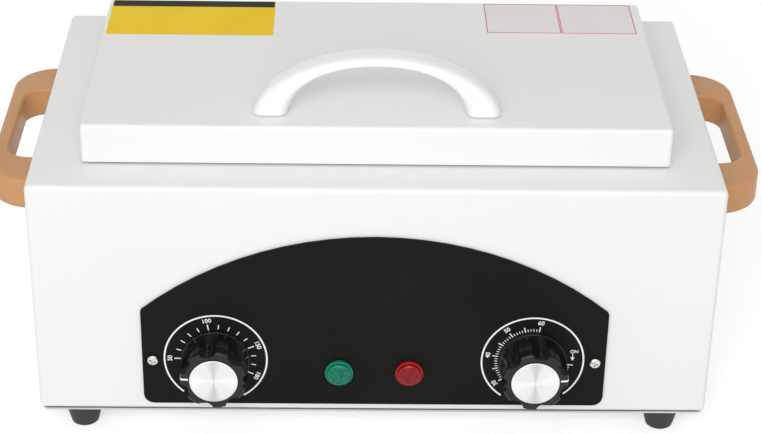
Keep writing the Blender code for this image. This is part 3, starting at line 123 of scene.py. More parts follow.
bpy.ops.object.light_add(type="AREA", location=(-0.25, -1.75, 1.18))
softbox = bpy.context.object
softbox.data.shape = "RECTANGLE"
softbox.data.size = 1.5
softbox.data.size_y = 1.0
softbox.data.energy = 24.5
softbox.rotation_euler = (Vector((0, 0, 0.08)) - softbox.location).to_track_quat("-Z", "Y").to_euler()


# Case sheet
# One folded sheet of 1 mm steel with rounded bends, a return under its foot and an opening for the tank.
# It is stove-enamelled white, and every hole that something passes through is punched before that.
def middle_of(node):
    """The middle of a CAD node's box at rest."""
    low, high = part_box(node)
    return (low + high) / 2


def only(piece):
    """Selects one object alone and makes it the active one."""
    bpy.ops.object.select_all(action="DESELECT")
    piece.select_set(True)
    bpy.context.view_layer.objects.active = piece


def opened(name):
    """Names the primitive that was just added, and opens it in edit mode at its true size."""
    piece = bpy.context.object
    piece.name = name
    piece.data.name = name
    only(piece)
    bpy.ops.object.transform_apply(location=True, rotation=True, scale=True)
    bpy.ops.object.mode_set(mode="EDIT")
    return piece


def block(name, low, high):
    """Opens a box between two opposite corners in edit mode."""
    low = Vector(low)
    high = Vector(high)
    bpy.ops.mesh.primitive_cube_add(size=1, location=(low + high) / 2, scale=high - low)
    return opened(name)


def choose(kind, wanted):
    """In edit mode, selects only the points, edges or faces that pass a test."""
    bpy.ops.mesh.select_mode(type=kind)
    bpy.ops.mesh.select_all(action="DESELECT")
    shape = bmesh.from_edit_mesh(bpy.context.object.data)
    for part in {"VERT": shape.verts, "EDGE": shape.edges, "FACE": shape.faces}[kind]:
        if wanted(part):
            part.select_set(True)
    bmesh.update_edit_mesh(bpy.context.object.data)


def runs_along(edge, axis):
    """True for an edge that runs along one of the axes 0, 1 and 2."""
    return abs((edge.verts[0].co - edge.verts[1].co).normalized()[axis]) > 0.99


def closed(piece):
    """Leaves edit mode and applies the modifiers that a piece has."""
    bpy.ops.object.mode_set(mode="OBJECT")
    only(piece)
    for step in list(piece.modifiers):
        bpy.ops.object.modifier_apply(modifier=step.name)
    return piece


def cut(piece, tool):
    """Cuts a tool out of a piece and throws the tool away."""
    step = piece.modifiers.new("cut", "BOOLEAN")
    step.solver = "EXACT"
    step.object = tool
    only(piece)
    bpy.ops.object.modifier_apply(modifier=step.name)
    bpy.data.objects.remove(tool)


def drill(piece, place, radius, axis, sides=32):
    """Drills a round hole through a sheet at a place, along one of the three axes."""
    turn = ((0, math.pi / 2, 0), (math.pi / 2, 0, 0), (0, 0, 0))[axis]
    bpy.ops.mesh.primitive_cylinder_add(
        vertices=sides, radius=radius, depth=6 * sheet, location=place, rotation=turn
    )
    cut(piece, closed(opened("drill")))


def made_sheet(piece):
    """Gives a bent shell the thickness of the sheet, inwards."""
    closed(piece)
    step = piece.modifiers.new("sheet", "SOLIDIFY")
    step.thickness = sheet
    step.offset = -1
    step.use_even_offset = True
    closed(piece)


def rounded_over(piece, radius, segments=3, angle=35):
    """Rounds the sharp edges of a piece."""
    step = piece.modifiers.new("edges", "BEVEL")
    step.width = radius
    step.segments = segments
    step.limit_method = "ANGLE"
    step.angle_limit = math.radians(angle)
    only(piece)
    bpy.ops.object.modifier_apply(modifier=step.name)


def dressed(piece, finish, body, angle=35):
    """Shades a finished piece smooth with its flats kept flat, and gives it its finish and its body."""
    only(piece)
    piece.data.materials.clear()
    piece.data.materials.append(finish)
    bpy.ops.object.shade_smooth_by_angle(angle=math.radians(angle))
    step = piece.modifiers.new("flats", "WEIGHTED_NORMAL")
    step.keep_sharp = True
    bpy.ops.object.modifier_apply(modifier=step.name)
    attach(piece, body)


def new_group(name, inputs, outputs):
    """Makes an empty node group, and returns it with its nodes, links and two ends."""
    group = bpy.data.node_groups.new(name, "ShaderNodeTree")
    for label, kind, value in inputs:
        socket = group.interface.new_socket(label, in_out="INPUT", socket_type="NodeSocket" + kind)
        socket.default_value = value
    for label, kind in outputs:
        group.interface.new_socket(label, in_out="OUTPUT", socket_type="NodeSocket" + kind)
    nodes = group.nodes
    return group, nodes, group.links, nodes.new("NodeGroupInput"), nodes.new("NodeGroupOutput")


def noise_node(nodes, links, coordinates, detail=3.0):
    """A noise that reads its scale later, over the given coordinates."""
    noise = nodes.new("ShaderNodeTexNoise")
    noise.inputs["Detail"].default_value = detail
    links.new(coordinates, noise.inputs["Vector"])
    return noise


def two_tones(nodes, links, entry, leave, second, tone, gloss):
    """Blends a group's two colours by one noise, and its two roughnesses by another."""
    spread = nodes.new("ShaderNodeMapRange")
    spread.inputs["From Min"].default_value = 0.35
    spread.inputs["From Max"].default_value = 0.70
    links.new(tone.outputs["Fac"], spread.inputs["Value"])
    shade = nodes.new("ShaderNodeMix")
    shade.data_type = "RGBA"
    links.new(spread.outputs["Result"], shade.inputs["Factor"])
    links.new(entry.outputs["Color"], shade.inputs["A"])
    links.new(entry.outputs[second], shade.inputs["B"])
    links.new(shade.outputs["Result"], leave.inputs["Color"])
    sheen = nodes.new("ShaderNodeMapRange")
    sheen.inputs["From Min"].default_value = 0.3
    sheen.inputs["From Max"].default_value = 0.7
    links.new(gloss.outputs["Fac"], sheen.inputs["Value"])
    links.new(entry.outputs["Smoothest"], sheen.inputs["To Min"])
    links.new(entry.outputs["Roughest"], sheen.inputs["To Max"])
    links.new(sheen.outputs["Result"], leave.inputs["Roughness"])


def embossed(nodes, links, shader, height, strength, depth):
    """Bends the light of a finish as a relief of this height would."""
    relief = nodes.new("ShaderNodeBump")
    relief.inputs["Strength"].default_value = strength
    relief.inputs["Distance"].default_value = depth
    links.new(height, relief.inputs["Height"])
    links.new(relief.outputs["Normal"], shader.inputs["Normal"])


def group_finish(name, colour, metallic, group, values, bump, depth):
    """A finish whose colour, roughness and relief come from a node group with these values."""
    finish, nodes, links, shader = new_finish(name, colour, values["Roughest"], metallic)
    skin = nodes.new("ShaderNodeGroup")
    skin.node_tree = group
    for label, value in values.items():
        skin.inputs[label].default_value = value
    links.new(skin.outputs["Color"], shader.inputs["Base Color"])
    links.new(skin.outputs["Roughness"], shader.inputs["Roughness"])
    embossed(nodes, links, shader, skin.outputs["Height"], bump, depth)
    return finish


def tune(finish, values):
    """Sets more values of a finish's shader."""
    for label, value in values.items():
        finish.node_tree.nodes["Principled BSDF"].inputs[label].default_value = value


surface_group, nodes, links, entry, leave = new_group(
    "moulded_or_painted_skin",
    (
        ("Color", "Color", (0.8, 0.8, 0.8, 1)), ("Worn Color", "Color", (0.7, 0.7, 0.7, 1)),
        ("Cloud Scale", "Float", 12.0), ("Grain Scale", "Float", 600.0),
        ("Smoothest", "Float", 0.3), ("Roughest", "Float", 0.4),
    ),
    (("Color", "Color"), ("Roughness", "Float"), ("Height", "Float")),
)
place = nodes.new("ShaderNodeTexCoord").outputs["Object"]
cloud = noise_node(nodes, links, place)
links.new(entry.outputs["Cloud Scale"], cloud.inputs["Scale"])
grain = noise_node(nodes, links, place, detail=2.0)
links.new(entry.outputs["Grain Scale"], grain.inputs["Scale"])
two_tones(nodes, links, entry, leave, "Worn Color", tone=cloud, gloss=cloud)
links.new(grain.outputs["Fac"], leave.inputs["Height"])


def skin_finish(name, colour, worn, smoothest, roughest, cloud=12.0, grain=600.0, bump=0.1, depth=0.00004):
    """A painted or moulded finish with a broad tone, a changing gloss and a fine grain."""
    values = {
        "Color": (*colour, 1), "Worn Color": (*worn, 1), "Cloud Scale": cloud, "Grain Scale": grain,
        "Smoothest": smoothest, "Roughest": roughest,
    }
    return group_finish(name, colour, 0.0, surface_group, values, bump, depth)


enamel = skin_finish(
    "white_enamel", (0.87, 0.87, 0.86), (0.85, 0.85, 0.84), 0.30, 0.36, cloud=7.0, grain=420.0, bump=0.25
)
tune(enamel, {"Coat Weight": 0.25, "Coat Roughness": 0.12})

sheet = 0.001
x_axis = 0
y_axis = 1
z_axis = 2
case_low, case_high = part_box("outer_shell")
dial_centre = middle_of("temperature_knob")
case_sheet = block("case_sheet", case_low, case_high)
bpy.ops.mesh.bevel(offset=0.0025, segments=6, affect="EDGES")
made_sheet(case_sheet)

half_length = 0.1261
half_width = 0.0551
spare = 0.004
middle_y = (case_low.y + case_high.y) / 2
mouth = block(
    "mouth", (-half_length, middle_y - half_width, case_high.z - spare),
    (half_length, middle_y + half_width, case_high.z + spare),
)
choose("EDGE", lambda edge: runs_along(edge, z_axis))
bpy.ops.mesh.bevel(offset=0.009, segments=8, affect="EDGES")
cut(case_sheet, closed(mouth))
foot_return = Vector((0.018, 0.018, 0))
underside = block(
    "underside", case_low + foot_return - Vector((0, 0, 0.003)),
    Vector((case_high.x, case_high.y, case_low.z + spare)) - foot_return,
)
cut(case_sheet, closed(underside))

# Each hole in the front: its middle, its radius and the number of its sides.
spindle_hole = (dial_centre, 0.0048, 32)
lamp_hole = (middle_of("green_lamp_lens"), 0.0055, 32)
panel_screw_hole = (middle_of("panel_screw_left"), 0.0016, 16)
for side in (-1, 1):
    for centre, radius, sides in (spindle_hole, lamp_hole, panel_screw_hole):
        drill(case_sheet, (side * abs(centre.x), case_low.y, centre.z), radius, y_axis, sides=sides)
handle_screw_hole = 0.0023
foot_screw_hole = 0.0021
gland_hole = 0.0063
corners = ("front_left", "front_right", "rear_left", "rear_right")
for corner in corners:
    spot = middle_of("handle_screw_" + corner)
    at_wall = (math.copysign(case_high.x, spot.x), spot.y, spot.z)
    drill(case_sheet, at_wall, handle_screw_hole, x_axis, sides=16)
for corner in corners:
    spot = middle_of("foot_" + corner)
    drill(case_sheet, (spot.x, spot.y, case_low.z), foot_screw_hole, z_axis, sides=16)
spot = middle_of("cord_gland")
drill(case_sheet, (spot.x, case_high.y, spot.z), gland_hole, y_axis)
dressed(case_sheet, enamel, "case")
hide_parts("outer_shell")


# Bottom plate and the channels on it
# Plain zinc-plated sheet, cut and folded but not painted, because nothing of it shows on the bench.
# The plating leaves the faint streaks of the rolled sheet and a few duller clouds.
streak_group, nodes, links, entry, leave = new_group(
    "rolled_or_brushed_metal",
    (
        ("Color", "Color", (0.6, 0.6, 0.6, 1)), ("Dull Color", "Color", (0.5, 0.5, 0.5, 1)),
        ("Stretch", "Vector", (4.0, 500.0, 500.0)), ("Smoothest", "Float", 0.25), ("Roughest", "Float", 0.4),
    ),
    (("Color", "Color"), ("Roughness", "Float"), ("Height", "Float")),
)
place = nodes.new("ShaderNodeTexCoord").outputs["Object"]
stretch = nodes.new("ShaderNodeVectorMath")
stretch.operation = "MULTIPLY"
links.new(place, stretch.inputs[0])
links.new(entry.outputs["Stretch"], stretch.inputs[1])
streak = noise_node(nodes, links, stretch.outputs[0], detail=4.0)
streak.inputs["Scale"].default_value = 1.0
cloud = noise_node(nodes, links, place)
cloud.inputs["Scale"].default_value = 25.0
two_tones(nodes, links, entry, leave, "Dull Color", tone=cloud, gloss=streak)
links.new(streak.outputs["Fac"], leave.inputs["Height"])


def metal_finish(name, colour, dull, smoothest, roughest, stretch=(4.0, 500.0, 500.0), bump=0.1):
    """A bare or plated metal with fine streaks along one direction."""
    values = {
        "Color": (*colour, 1), "Dull Color": (*dull, 1), "Stretch": stretch,
        "Smoothest": smoothest, "Roughest": roughest,
    }
    return group_finish(name, colour, 1.0, streak_group, values, bump, 0.00003)


def refinish(finish, *names):
    """Gives CAD nodes that stay in view their finish."""
    for name in names:
        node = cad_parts[name]
        if not node.material_slots:
            node.data.materials.append(finish)
        for holder in node.material_slots:
            holder.material = finish


zinc = metal_finish("zinc_plating", (0.60, 0.61, 0.62), (0.50, 0.51, 0.52), 0.32, 0.48, bump=0.15)
refinish(zinc, "bottom_plate", "support_channel_left", "support_channel_right")


# Rubber feet
# Four black rubber feet, moulded with a lip at the top, a taper to a ring tread and a recess for the screw.
# Each is held by one zinc-plated pan-head screw through the bottom plate and the case.
rubber = skin_finish(
    "black_rubber", (0.022, 0.022, 0.023), (0.035, 0.035, 0.035), 0.55, 0.75,
    cloud=90.0, grain=1500.0, bump=0.3,
)
foot_radius = 0.009
lip = 0.0025
taper = 0.0095
tread_share = 0.74
tread = 0.0014
recess_depth = 0.0055
recess_ledge = 0.0025
top_ledge = 0.0068
for corner in corners:
    node = "foot_" + corner
    low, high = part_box(node)
    spot = (low + high) / 2
    bpy.ops.mesh.primitive_cylinder_add(
        vertices=48, radius=foot_radius, depth=lip, location=(spot.x, spot.y, high.z - lip / 2)
    )
    foot = opened("rubber_" + node)
    choose("FACE", lambda face: face.normal.z < -0.9)
    bpy.ops.mesh.extrude_region_move(TRANSFORM_OT_translate={"value": (0, 0, -taper)})
    bpy.ops.transform.resize(value=(tread_share, tread_share, 1), center_override=(spot.x, spot.y, 0))
    bpy.ops.mesh.bevel(offset=0.0006, segments=3, affect="EDGES")
    choose("FACE", lambda face: face.normal.z < -0.9 and face.calc_center_median().z < 0.0002)
    bpy.ops.mesh.inset(thickness=tread, depth=0)
    bpy.ops.mesh.extrude_region_move(TRANSFORM_OT_translate={"value": (0, 0, recess_depth)})
    bpy.ops.mesh.inset(thickness=recess_ledge, depth=0)
    bpy.ops.mesh.delete(type="FACE")
    choose("FACE", lambda face: face.normal.z > 0.9 and face.calc_center_median().z > 0.011)
    bpy.ops.mesh.inset(thickness=top_ledge, depth=0)
    bpy.ops.mesh.delete(type="FACE")
    choose("EDGE", lambda edge: edge.is_boundary)
    bpy.ops.mesh.bridge_edge_loops()
    closed(foot)
    rounded_over(foot, 0.0003, segments=2)
    # The rounding leaves some points a hair below the bench, and these are laid flat on it.
    only(foot)
    bpy.ops.object.mode_set(mode="EDIT")
    choose("VERT", lambda point: point.co.z < 0)
    bpy.ops.transform.resize(value=(1, 1, 0), center_override=(spot.x, spot.y, 0))
    closed(foot)
    dressed(foot, rubber, "case")
    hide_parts(node)
refinish(
    zinc, "foot_screw_front_left", "foot_screw_front_right", "foot_screw_rear_left", "foot_screw_rear_right",
    "handle_screw_front_left", "handle_screw_front_right", "handle_screw_rear_left",
    "handle_screw_rear_right",
)


# Control panel
# A plate of 1.2 mm steel with a shallow arched top, sprayed black with a low gloss, before it is printed.
# It lies on the case front under the dials and the lamps, and the space for words on it is left bare.
panel_paint = skin_finish(
    "black_panel_paint", (0.0068, 0.0070, 0.0064), (0.0088, 0.0088, 0.0083), 0.42, 0.52,
    cloud=18.0, grain=900.0, bump=0.2,
)
tune(panel_paint, {"Specular IOR Level": 0.08})
refinish(panel_paint, "control_panel")


# Panel screws
# Two nickel-plated pan-head screws, one at each end of the panel, with a cross recess for the driver.
# The head is domed and the cross is punched into it.
nickel = metal_finish(
    "nickel_plating", (0.70, 0.69, 0.66), (0.62, 0.61, 0.58), 0.16, 0.28,
    stretch=(300.0, 300.0, 300.0), bump=0.05,
)


def disc(name, radius, thickness, place, sides):
    """Opens a disc that faces the front in edit mode."""
    bpy.ops.mesh.primitive_cylinder_add(
        vertices=sides, radius=radius, depth=thickness, location=place, rotation=(math.pi / 2, 0, 0)
    )
    return opened(name)


def domed(spot, steps):
    """Raises the selected front face step by step, and narrows it by a share round a spot at each."""
    for rise, share in steps:
        bpy.ops.mesh.extrude_region_move(TRANSFORM_OT_translate={"value": (0, -rise, 0)})
        bpy.ops.transform.resize(value=(share, 1, share), center_override=(spot[0], 0, spot[2]))


head_radius = 0.0027
rim = 0.0007
rim_width = 0.0014
cross = (0.0034, 0.0028, 0.00072)
cross_turn = 0.35
for word in ("left", "right"):
    low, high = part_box("panel_screw_" + word)
    spot = (low + high) / 2
    head_back = low.y + 0.0015
    rim_middle = (spot.x, head_back - rim / 2, spot.z)
    screw = disc("panel_cross_screw_" + word, head_radius, rim, rim_middle, 48)
    choose("FACE", lambda face: face.normal.y < -0.9)
    domed(spot, ((0.00035, 0.92), (0.00025, 0.86), (0.00015, 0.70), (0.00005, 0.40)))
    choose("FACE", lambda face: face.normal.y > 0.9)
    bpy.ops.mesh.inset(thickness=rim_width, depth=0)
    bpy.ops.mesh.extrude_region_move(TRANSFORM_OT_translate={"value": (0, high.y - head_back, 0)})
    closed(screw)
    for turn in (cross_turn, cross_turn + math.pi / 2):
        bpy.ops.mesh.primitive_cube_add(
            size=1, location=(spot.x, low.y, spot.z), rotation=(0, turn, 0), scale=cross
        )
        cut(screw, closed(opened("recess")))
    rounded_over(screw, 0.00008, segments=2, angle=50)
    dressed(screw, nickel, "case")
    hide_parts("panel_screw_" + word)


# Dial prints
# White scales are screen-printed on the panel: a ring that is open below, ticks, plain numbers and ON.
# The temperature scale runs from 50 to 180 on the left and the timer from 0 to 60 minutes on the right.
print_ink = skin_finish("white_print", (0.93, 0.93, 0.92), (0.89, 0.89, 0.88), 0.45, 0.6, cloud=200.0)
ink = 0.00006
ink_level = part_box("control_panel")[0].y - ink


def ring_print(name, x, z, radius, width, first, last):
    """Prints a ring round a dial and opens it between two angles below."""
    bpy.ops.mesh.primitive_circle_add(
        vertices=180, radius=radius + width / 2, location=(x, ink_level, z), rotation=(math.pi / 2, 0, 0)
    )
    ring = opened(name)
    bpy.ops.mesh.extrude_edges_move(TRANSFORM_OT_translate={"value": (0, 0, 0)})
    inner = (radius - width / 2) / (radius + width / 2)
    bpy.ops.transform.resize(value=(inner, 1, inner), center_override=(x, ink_level, z))

    def in_the_gap(face):
        spot = face.calc_center_median()
        angle = math.degrees(math.atan2(spot.z - z, spot.x - x)) % 360
        return first < angle < last

    choose("FACE", in_the_gap)
    bpy.ops.mesh.delete(type="FACE")
    bpy.ops.mesh.select_all(action="SELECT")
    bpy.ops.mesh.extrude_region_move(TRANSFORM_OT_translate={"value": (0, ink * 0.6, 0)})
    bpy.ops.mesh.select_all(action="SELECT")
    bpy.ops.mesh.normals_make_consistent(inside=False)
    return closed(ring)


def tick_print(x, z, angle, start, end, width):
    """Prints one tick that points at the middle of a dial."""
    angle = math.radians(angle)
    reach = (start + end) / 2
    bpy.ops.mesh.primitive_cube_add(
        size=1, rotation=(0, -angle, 0), scale=(end - start, ink * 0.6, width),
        location=(x + reach * math.cos(angle), ink_level + ink * 0.3, z + reach * math.sin(angle)),
    )
    return closed(opened("tick"))


def word_print(x, z, words, angle, reach, size, lean=0):
    """Prints a number or ON whose top points away from the middle of a dial."""
    angle = math.radians(angle)
    bpy.ops.object.text_add()
    words_print = bpy.context.object
    words_print.data.body = words
    words_print.data.size = size
    words_print.data.align_x = "CENTER"
    words_print.data.align_y = "CENTER"
    words_print.data.resolution_u = 4
    words_print.data.extrude = ink * 0.3
    words_print.data.offset = size * 0.020
    spot = Vector((x + reach * math.cos(angle), ink_level + ink * 0.3, z + reach * math.sin(angle)))
    stood_up = Matrix.Rotation(math.pi / 2, 4, "X")
    turned = Matrix.Rotation(math.pi / 2 - angle + math.radians(lean), 4, "Y")
    only(words_print)
    bpy.ops.object.convert(target="MESH")
    words_print = bpy.context.object
    words_print.matrix_world = Matrix.Translation(spot) @ (turned @ stood_up)
    bpy.ops.object.transform_apply(location=True, rotation=True, scale=True)
    return words_print


def printed(ring, marks):
    """Joins the marks to their ring, so that a scale is one print."""
    only(ring)
    for mark in marks:
        mark.select_set(True)
    bpy.ops.object.join()
    ring.data.materials.clear()
    ring.data.materials.append(print_ink)
    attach(ring, "case")


ring_size = (0.02495, 0.00085)
number_reach = 0.0222
number_size = 0.0032
z = dial_centre.z

angle_of_50 = 179
turn_per_degree = 1.57
# Each kind of tick: where it starts and ends, from the middle of its dial, and its width.
long_tick = (0.0171, 0.0202, 0.00060)
short_tick = (0.0174, 0.0198, 0.00052)
end_dot = (0.0188, 0.0194, 0.0006)
x = -abs(dial_centre.x)
scale_ring = ring_print("temperature_scale", x, z, *ring_size, 229, 302.4)
marks = []
for degrees in range(50, 190, 10):
    angle = angle_of_50 - (degrees - 50) * turn_per_degree
    if degrees in (50, 100, 150, 180):
        marks.append(tick_print(x, z, angle, *long_tick))
        marks.append(word_print(x, z, str(degrees), angle, number_reach, number_size))
    else:
        marks.append(tick_print(x, z, angle, *short_tick))
marks.append(tick_print(x, z, -49, *end_dot))
printed(scale_ring, marks)

angle_of_60 = 81.8
turn_per_minute = 4.465
angle_of_0 = -6
five_minutes = (0.0172, 0.0200, 0.00055)
one_minute = (0.0172, 0.0187, 0.00035)
dot = (0.0177, 0.0183, 0.0006)
x = abs(dial_centre.x)
scale_ring = ring_print("timer_scale", x, z, *ring_size, 235, 309)
marks = []
for minutes in range(30, 61):
    angle = angle_of_60 + (60 - minutes) * turn_per_minute
    if minutes % 5 == 0:
        marks.append(tick_print(x, z, angle, *five_minutes))
    else:
        marks.append(tick_print(x, z, angle, *one_minute))
    if minutes % 10 == 0:
        marks.append(word_print(x, z, str(minutes), angle, number_reach, number_size))
marks.append(tick_print(x, z, angle_of_0, *five_minutes))
for angle in (-10.6, -15.2, -19.8):
    marks.append(tick_print(x, z, angle, *dot))
marks.append(word_print(x, z, "ON", 15.8, 0.0210, 0.0025, lean=-74.2))
arrow_x = x + 0.0195
marks.append(tick_print(arrow_x, z, 90, 0.0022, 0.0046, 0.00045))
bpy.ops.mesh.primitive_cylinder_add(
    vertices=3, radius=0.0013, depth=ink * 0.6, location=(arrow_x, ink_level + ink * 0.3, z + 0.0018),
    rotation=(-math.pi / 2, 0, 0),
)
marks.append(closed(opened("arrow_head")))
printed(scale_ring, marks)


# Control knobs
# Black phenolic mouldings with a round skirt and seven flutes between broad lobes.
# A white line is filled into the shoulder to point at the scale, and a spun cap is pressed into the front.
phenolic = skin_finish(
    "black_phenolic", (0.007, 0.007, 0.007), (0.011, 0.011, 0.011), 0.18, 0.30,
    cloud=60.0, grain=1200.0, bump=0.12,
)
tune(phenolic, {"Specular IOR Level": 0.32, "Coat Weight": 0.06, "Coat Roughness": 0.08})
knob_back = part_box("temperature_knob")[1].y


def on_its_dial(piece, side, pointer):
    """Moves a piece made round the origin to its dial, with its +X side at the pointer's angle."""
    only(piece)
    middle = Vector((side * abs(dial_centre.x), knob_back, dial_centre.z))
    piece.matrix_world = Matrix.Translation(middle) @ Matrix.Rotation(-math.radians(pointer), 4, "Y")
    bpy.ops.object.transform_apply(location=True, rotation=True, scale=True)


def eased_front(radius, segments):
    """Rounds the rim of a disc's front face, and leaves that face selected."""
    choose("FACE", lambda face: face.normal.y < -0.9)
    bpy.ops.mesh.bevel(offset=radius, segments=segments, affect="EDGES")
    choose("FACE", lambda face: face.normal.y < -0.99)


skirt_radius = 0.0168
skirt = 0.0018
lobe_foot = 0.0164
lobe_radius = 0.0161
shoulder = 0.0170
front_radius = 0.0151
shoulder_width = 0.0010
shoulder_height = 0.0014
rounds = 6
cap_seat = 0.0120
seat_depth = 0.0012
flutes = 7
flute_circle = 0.0180
flute_radius = 0.0048
flute_reach = 0.024
flute_start = 0.0021
hub_radius = 0.0070
bore_radius = 0.0033
line_start = 0.0123
line_level = 0.01843
line_end = (0.01622, 0.0140)
line_width = 0.001
paint = 0.00004
for word, side, pointer in (("temperature", -1, 177), ("timer", 1, 5)):
    body = word + "_dial"
    knob = disc("fluted_knob_" + word, skirt_radius, skirt, (0, -skirt / 2, 0), 128)
    eased_front(0.0003, 3)
    bpy.ops.mesh.inset(thickness=0.0001, depth=0)
    radius = lobe_foot
    height = skirt
    profile = [(lobe_radius, shoulder)]
    for n in range(1, rounds + 1):
        turn = math.pi / 2 * n / rounds
        profile.append(
            (front_radius + shoulder_width * math.cos(turn), shoulder + shoulder_height * math.sin(turn))
        )
    for next_radius, next_height in profile:
        domed((0, 0, 0), ((next_height - height, next_radius / radius),))
        radius = next_radius
        height = next_height
    bpy.ops.mesh.inset(thickness=radius - cap_seat, depth=0)
    bpy.ops.mesh.extrude_region_move(TRANSFORM_OT_translate={"value": (0, seat_depth, 0)})
    closed(knob)
    for n in range(flutes):
        turn = 2 * math.pi * (n + 0.5) / flutes
        x = flute_circle * math.cos(turn)
        z = flute_circle * math.sin(turn)
        middle = (x, -flute_start - flute_reach / 2, z)
        cut(knob, closed(disc("flute", flute_radius, flute_reach, middle, 64)))
    cut(knob, closed(disc("hub", hub_radius, 0.0060, (0, 0, 0), 48)))
    cut(knob, closed(disc("bore", bore_radius, 0.022, (0, 0, 0), 32)))
    rounded_over(knob, 0.0005, segments=3, angle=38)
    on_its_dial(knob, side, pointer)
    dressed(knob, phenolic, body, angle=40)
    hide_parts(word + "_knob")

    pointer_path = [(line_start, line_level), (front_radius, line_level)]
    for n in range(1, rounds + 1):
        turn = math.pi / 2 * (1 - n / rounds)
        reach = front_radius + (shoulder_width + paint) * math.cos(turn)
        pointer_path.append((reach, shoulder + (shoulder_height + paint) * math.sin(turn)))
    pointer_path.append(line_end)
    bpy.ops.mesh.primitive_plane_add(size=line_width)
    line = opened("pointer_line_" + word)
    choose("VERT", lambda point: point.co.x < 0)
    bpy.ops.mesh.delete(type="VERT")
    bpy.ops.mesh.select_all(action="SELECT")
    bpy.ops.transform.rotate(value=math.pi / 2, orient_axis="X", center_override=(0, 0, 0))
    bpy.ops.transform.translate(value=(line_start - line_width / 2, -line_level, 0))
    before = pointer_path[0]
    for spot in pointer_path[1:]:
        bpy.ops.mesh.extrude_edges_move(
            TRANSFORM_OT_translate={"value": (spot[0] - before[0], before[1] - spot[1], 0)}
        )
        before = spot
    closed(line)
    step = line.modifiers.new("paint", "SOLIDIFY")
    step.thickness = 2 * paint
    step.offset = 0
    closed(line)
    on_its_dial(line, side, pointer)
    dressed(line, print_ink, body, angle=60)


# Spun caps
# Aluminium discs, turned on the face so that light fans out from the middle, with a small polished rim.
# Each is pressed into the recess of its knob.
rings_group, nodes, links, entry, leave = new_group(
    "turned_rings",
    (("Middle", "Vector", (0.0, 0.0, 0.0)), ("Fineness", "Float", 4000.0)),
    (("Ring", "Float"),),
)
place = nodes.new("ShaderNodeTexCoord").outputs["Object"]
from_middle = nodes.new("ShaderNodeVectorMath")
from_middle.operation = "DISTANCE"
links.new(place, from_middle.inputs[0])
links.new(entry.outputs["Middle"], from_middle.inputs[1])
wave = math_node(nodes, links, "MULTIPLY", from_middle.outputs["Value"], entry.outputs["Fineness"])
along = nodes.new("ShaderNodeCombineXYZ")
links.new(wave, along.inputs["X"])
rings = noise_node(nodes, links, along.outputs[0])
rings.inputs["Scale"].default_value = 1.0
links.new(rings.outputs["Fac"], leave.inputs["Ring"])


def spun_finish(name, middle):
    """Turned aluminium, whose grain runs in rings round the middle of its piece. Its colour holds a painted
    reflection: darker in wedges above and below the middle.
    """
    finish, nodes, links, shader = new_finish(name, (0.78, 0.78, 0.78), 0.3, metallic=1.0)
    shader.inputs["Anisotropic"].default_value = 0.85
    outward = nodes.new("ShaderNodeVectorMath")
    outward.operation = "SUBTRACT"
    outward.inputs[1].default_value = middle
    links.new(nodes.new("ShaderNodeTexCoord").outputs["Object"], outward.inputs[0])
    # Painted reflection: the base colour is darker in wedges straight above and below the middle and lighter
    # to the sides, and these wedges turn with the knob.
    parts = nodes.new("ShaderNodeSeparateXYZ")
    links.new(outward.outputs[0], parts.inputs[0])
    spoke = math_node(nodes, links, "ARCTAN2", parts.outputs["X"], parts.outputs["Z"])
    lean = math_node(nodes, links, "SINE", spoke)
    painted_reflection_wedge = math_node(nodes, links, "ABSOLUTE", lean)
    tone = nodes.new("ShaderNodeValToRGB")
    tone.color_ramp.elements[0].position = 0.05
    tone.color_ramp.elements[0].color = (0.60, 0.60, 0.60, 1)
    tone.color_ramp.elements[1].position = 0.42
    tone.color_ramp.elements[1].color = (0.80, 0.80, 0.80, 1)
    links.new(painted_reflection_wedge, tone.inputs["Fac"])
    links.new(tone.outputs["Color"], shader.inputs["Base Color"])
    turned = nodes.new("ShaderNodeGroup")
    turned.node_tree = rings_group
    turned.inputs["Middle"].default_value = middle
    gloss = nodes.new("ShaderNodeMapRange")
    gloss.inputs["To Min"].default_value = 0.24
    gloss.inputs["To Max"].default_value = 0.38
    links.new(turned.outputs["Ring"], gloss.inputs["Value"])
    links.new(gloss.outputs["Result"], shader.inputs["Roughness"])
    embossed(nodes, links, shader, turned.outputs["Ring"], 0.15, 0.00002)
    around = nodes.new("ShaderNodeVectorMath")
    around.operation = "CROSS_PRODUCT"
    around.inputs[1].default_value = (0, 1, 0)
    links.new(outward.outputs[0], around.inputs[0])
    links.new(around.outputs[0], shader.inputs["Tangent"])
    return finish


cap_radius = 0.0117
cap_thickness = 0.0016
cap_level = 0.0183
for word, body in (("temperature", "temperature_dial"), ("timer", "timer_dial")):
    spot = middle_of(word + "_knob_cap")
    spot.y = knob_back - cap_level
    cap = disc("spun_cap_" + word, cap_radius, cap_thickness, spot, 128)
    eased_front(0.0004, 4)
    bpy.ops.mesh.inset(thickness=0.0003, depth=0)
    bpy.ops.mesh.inset(thickness=0.0001, depth=-0.00012)
    bpy.ops.mesh.inset(thickness=0.0002, depth=0)
    closed(cap)
    dressed(cap, spun_finish("spun_aluminium_" + word, spot), body, angle=30)
    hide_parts(word + "_knob_cap")
refinish(nickel, "thermostat_spindle", "timer_spindle")


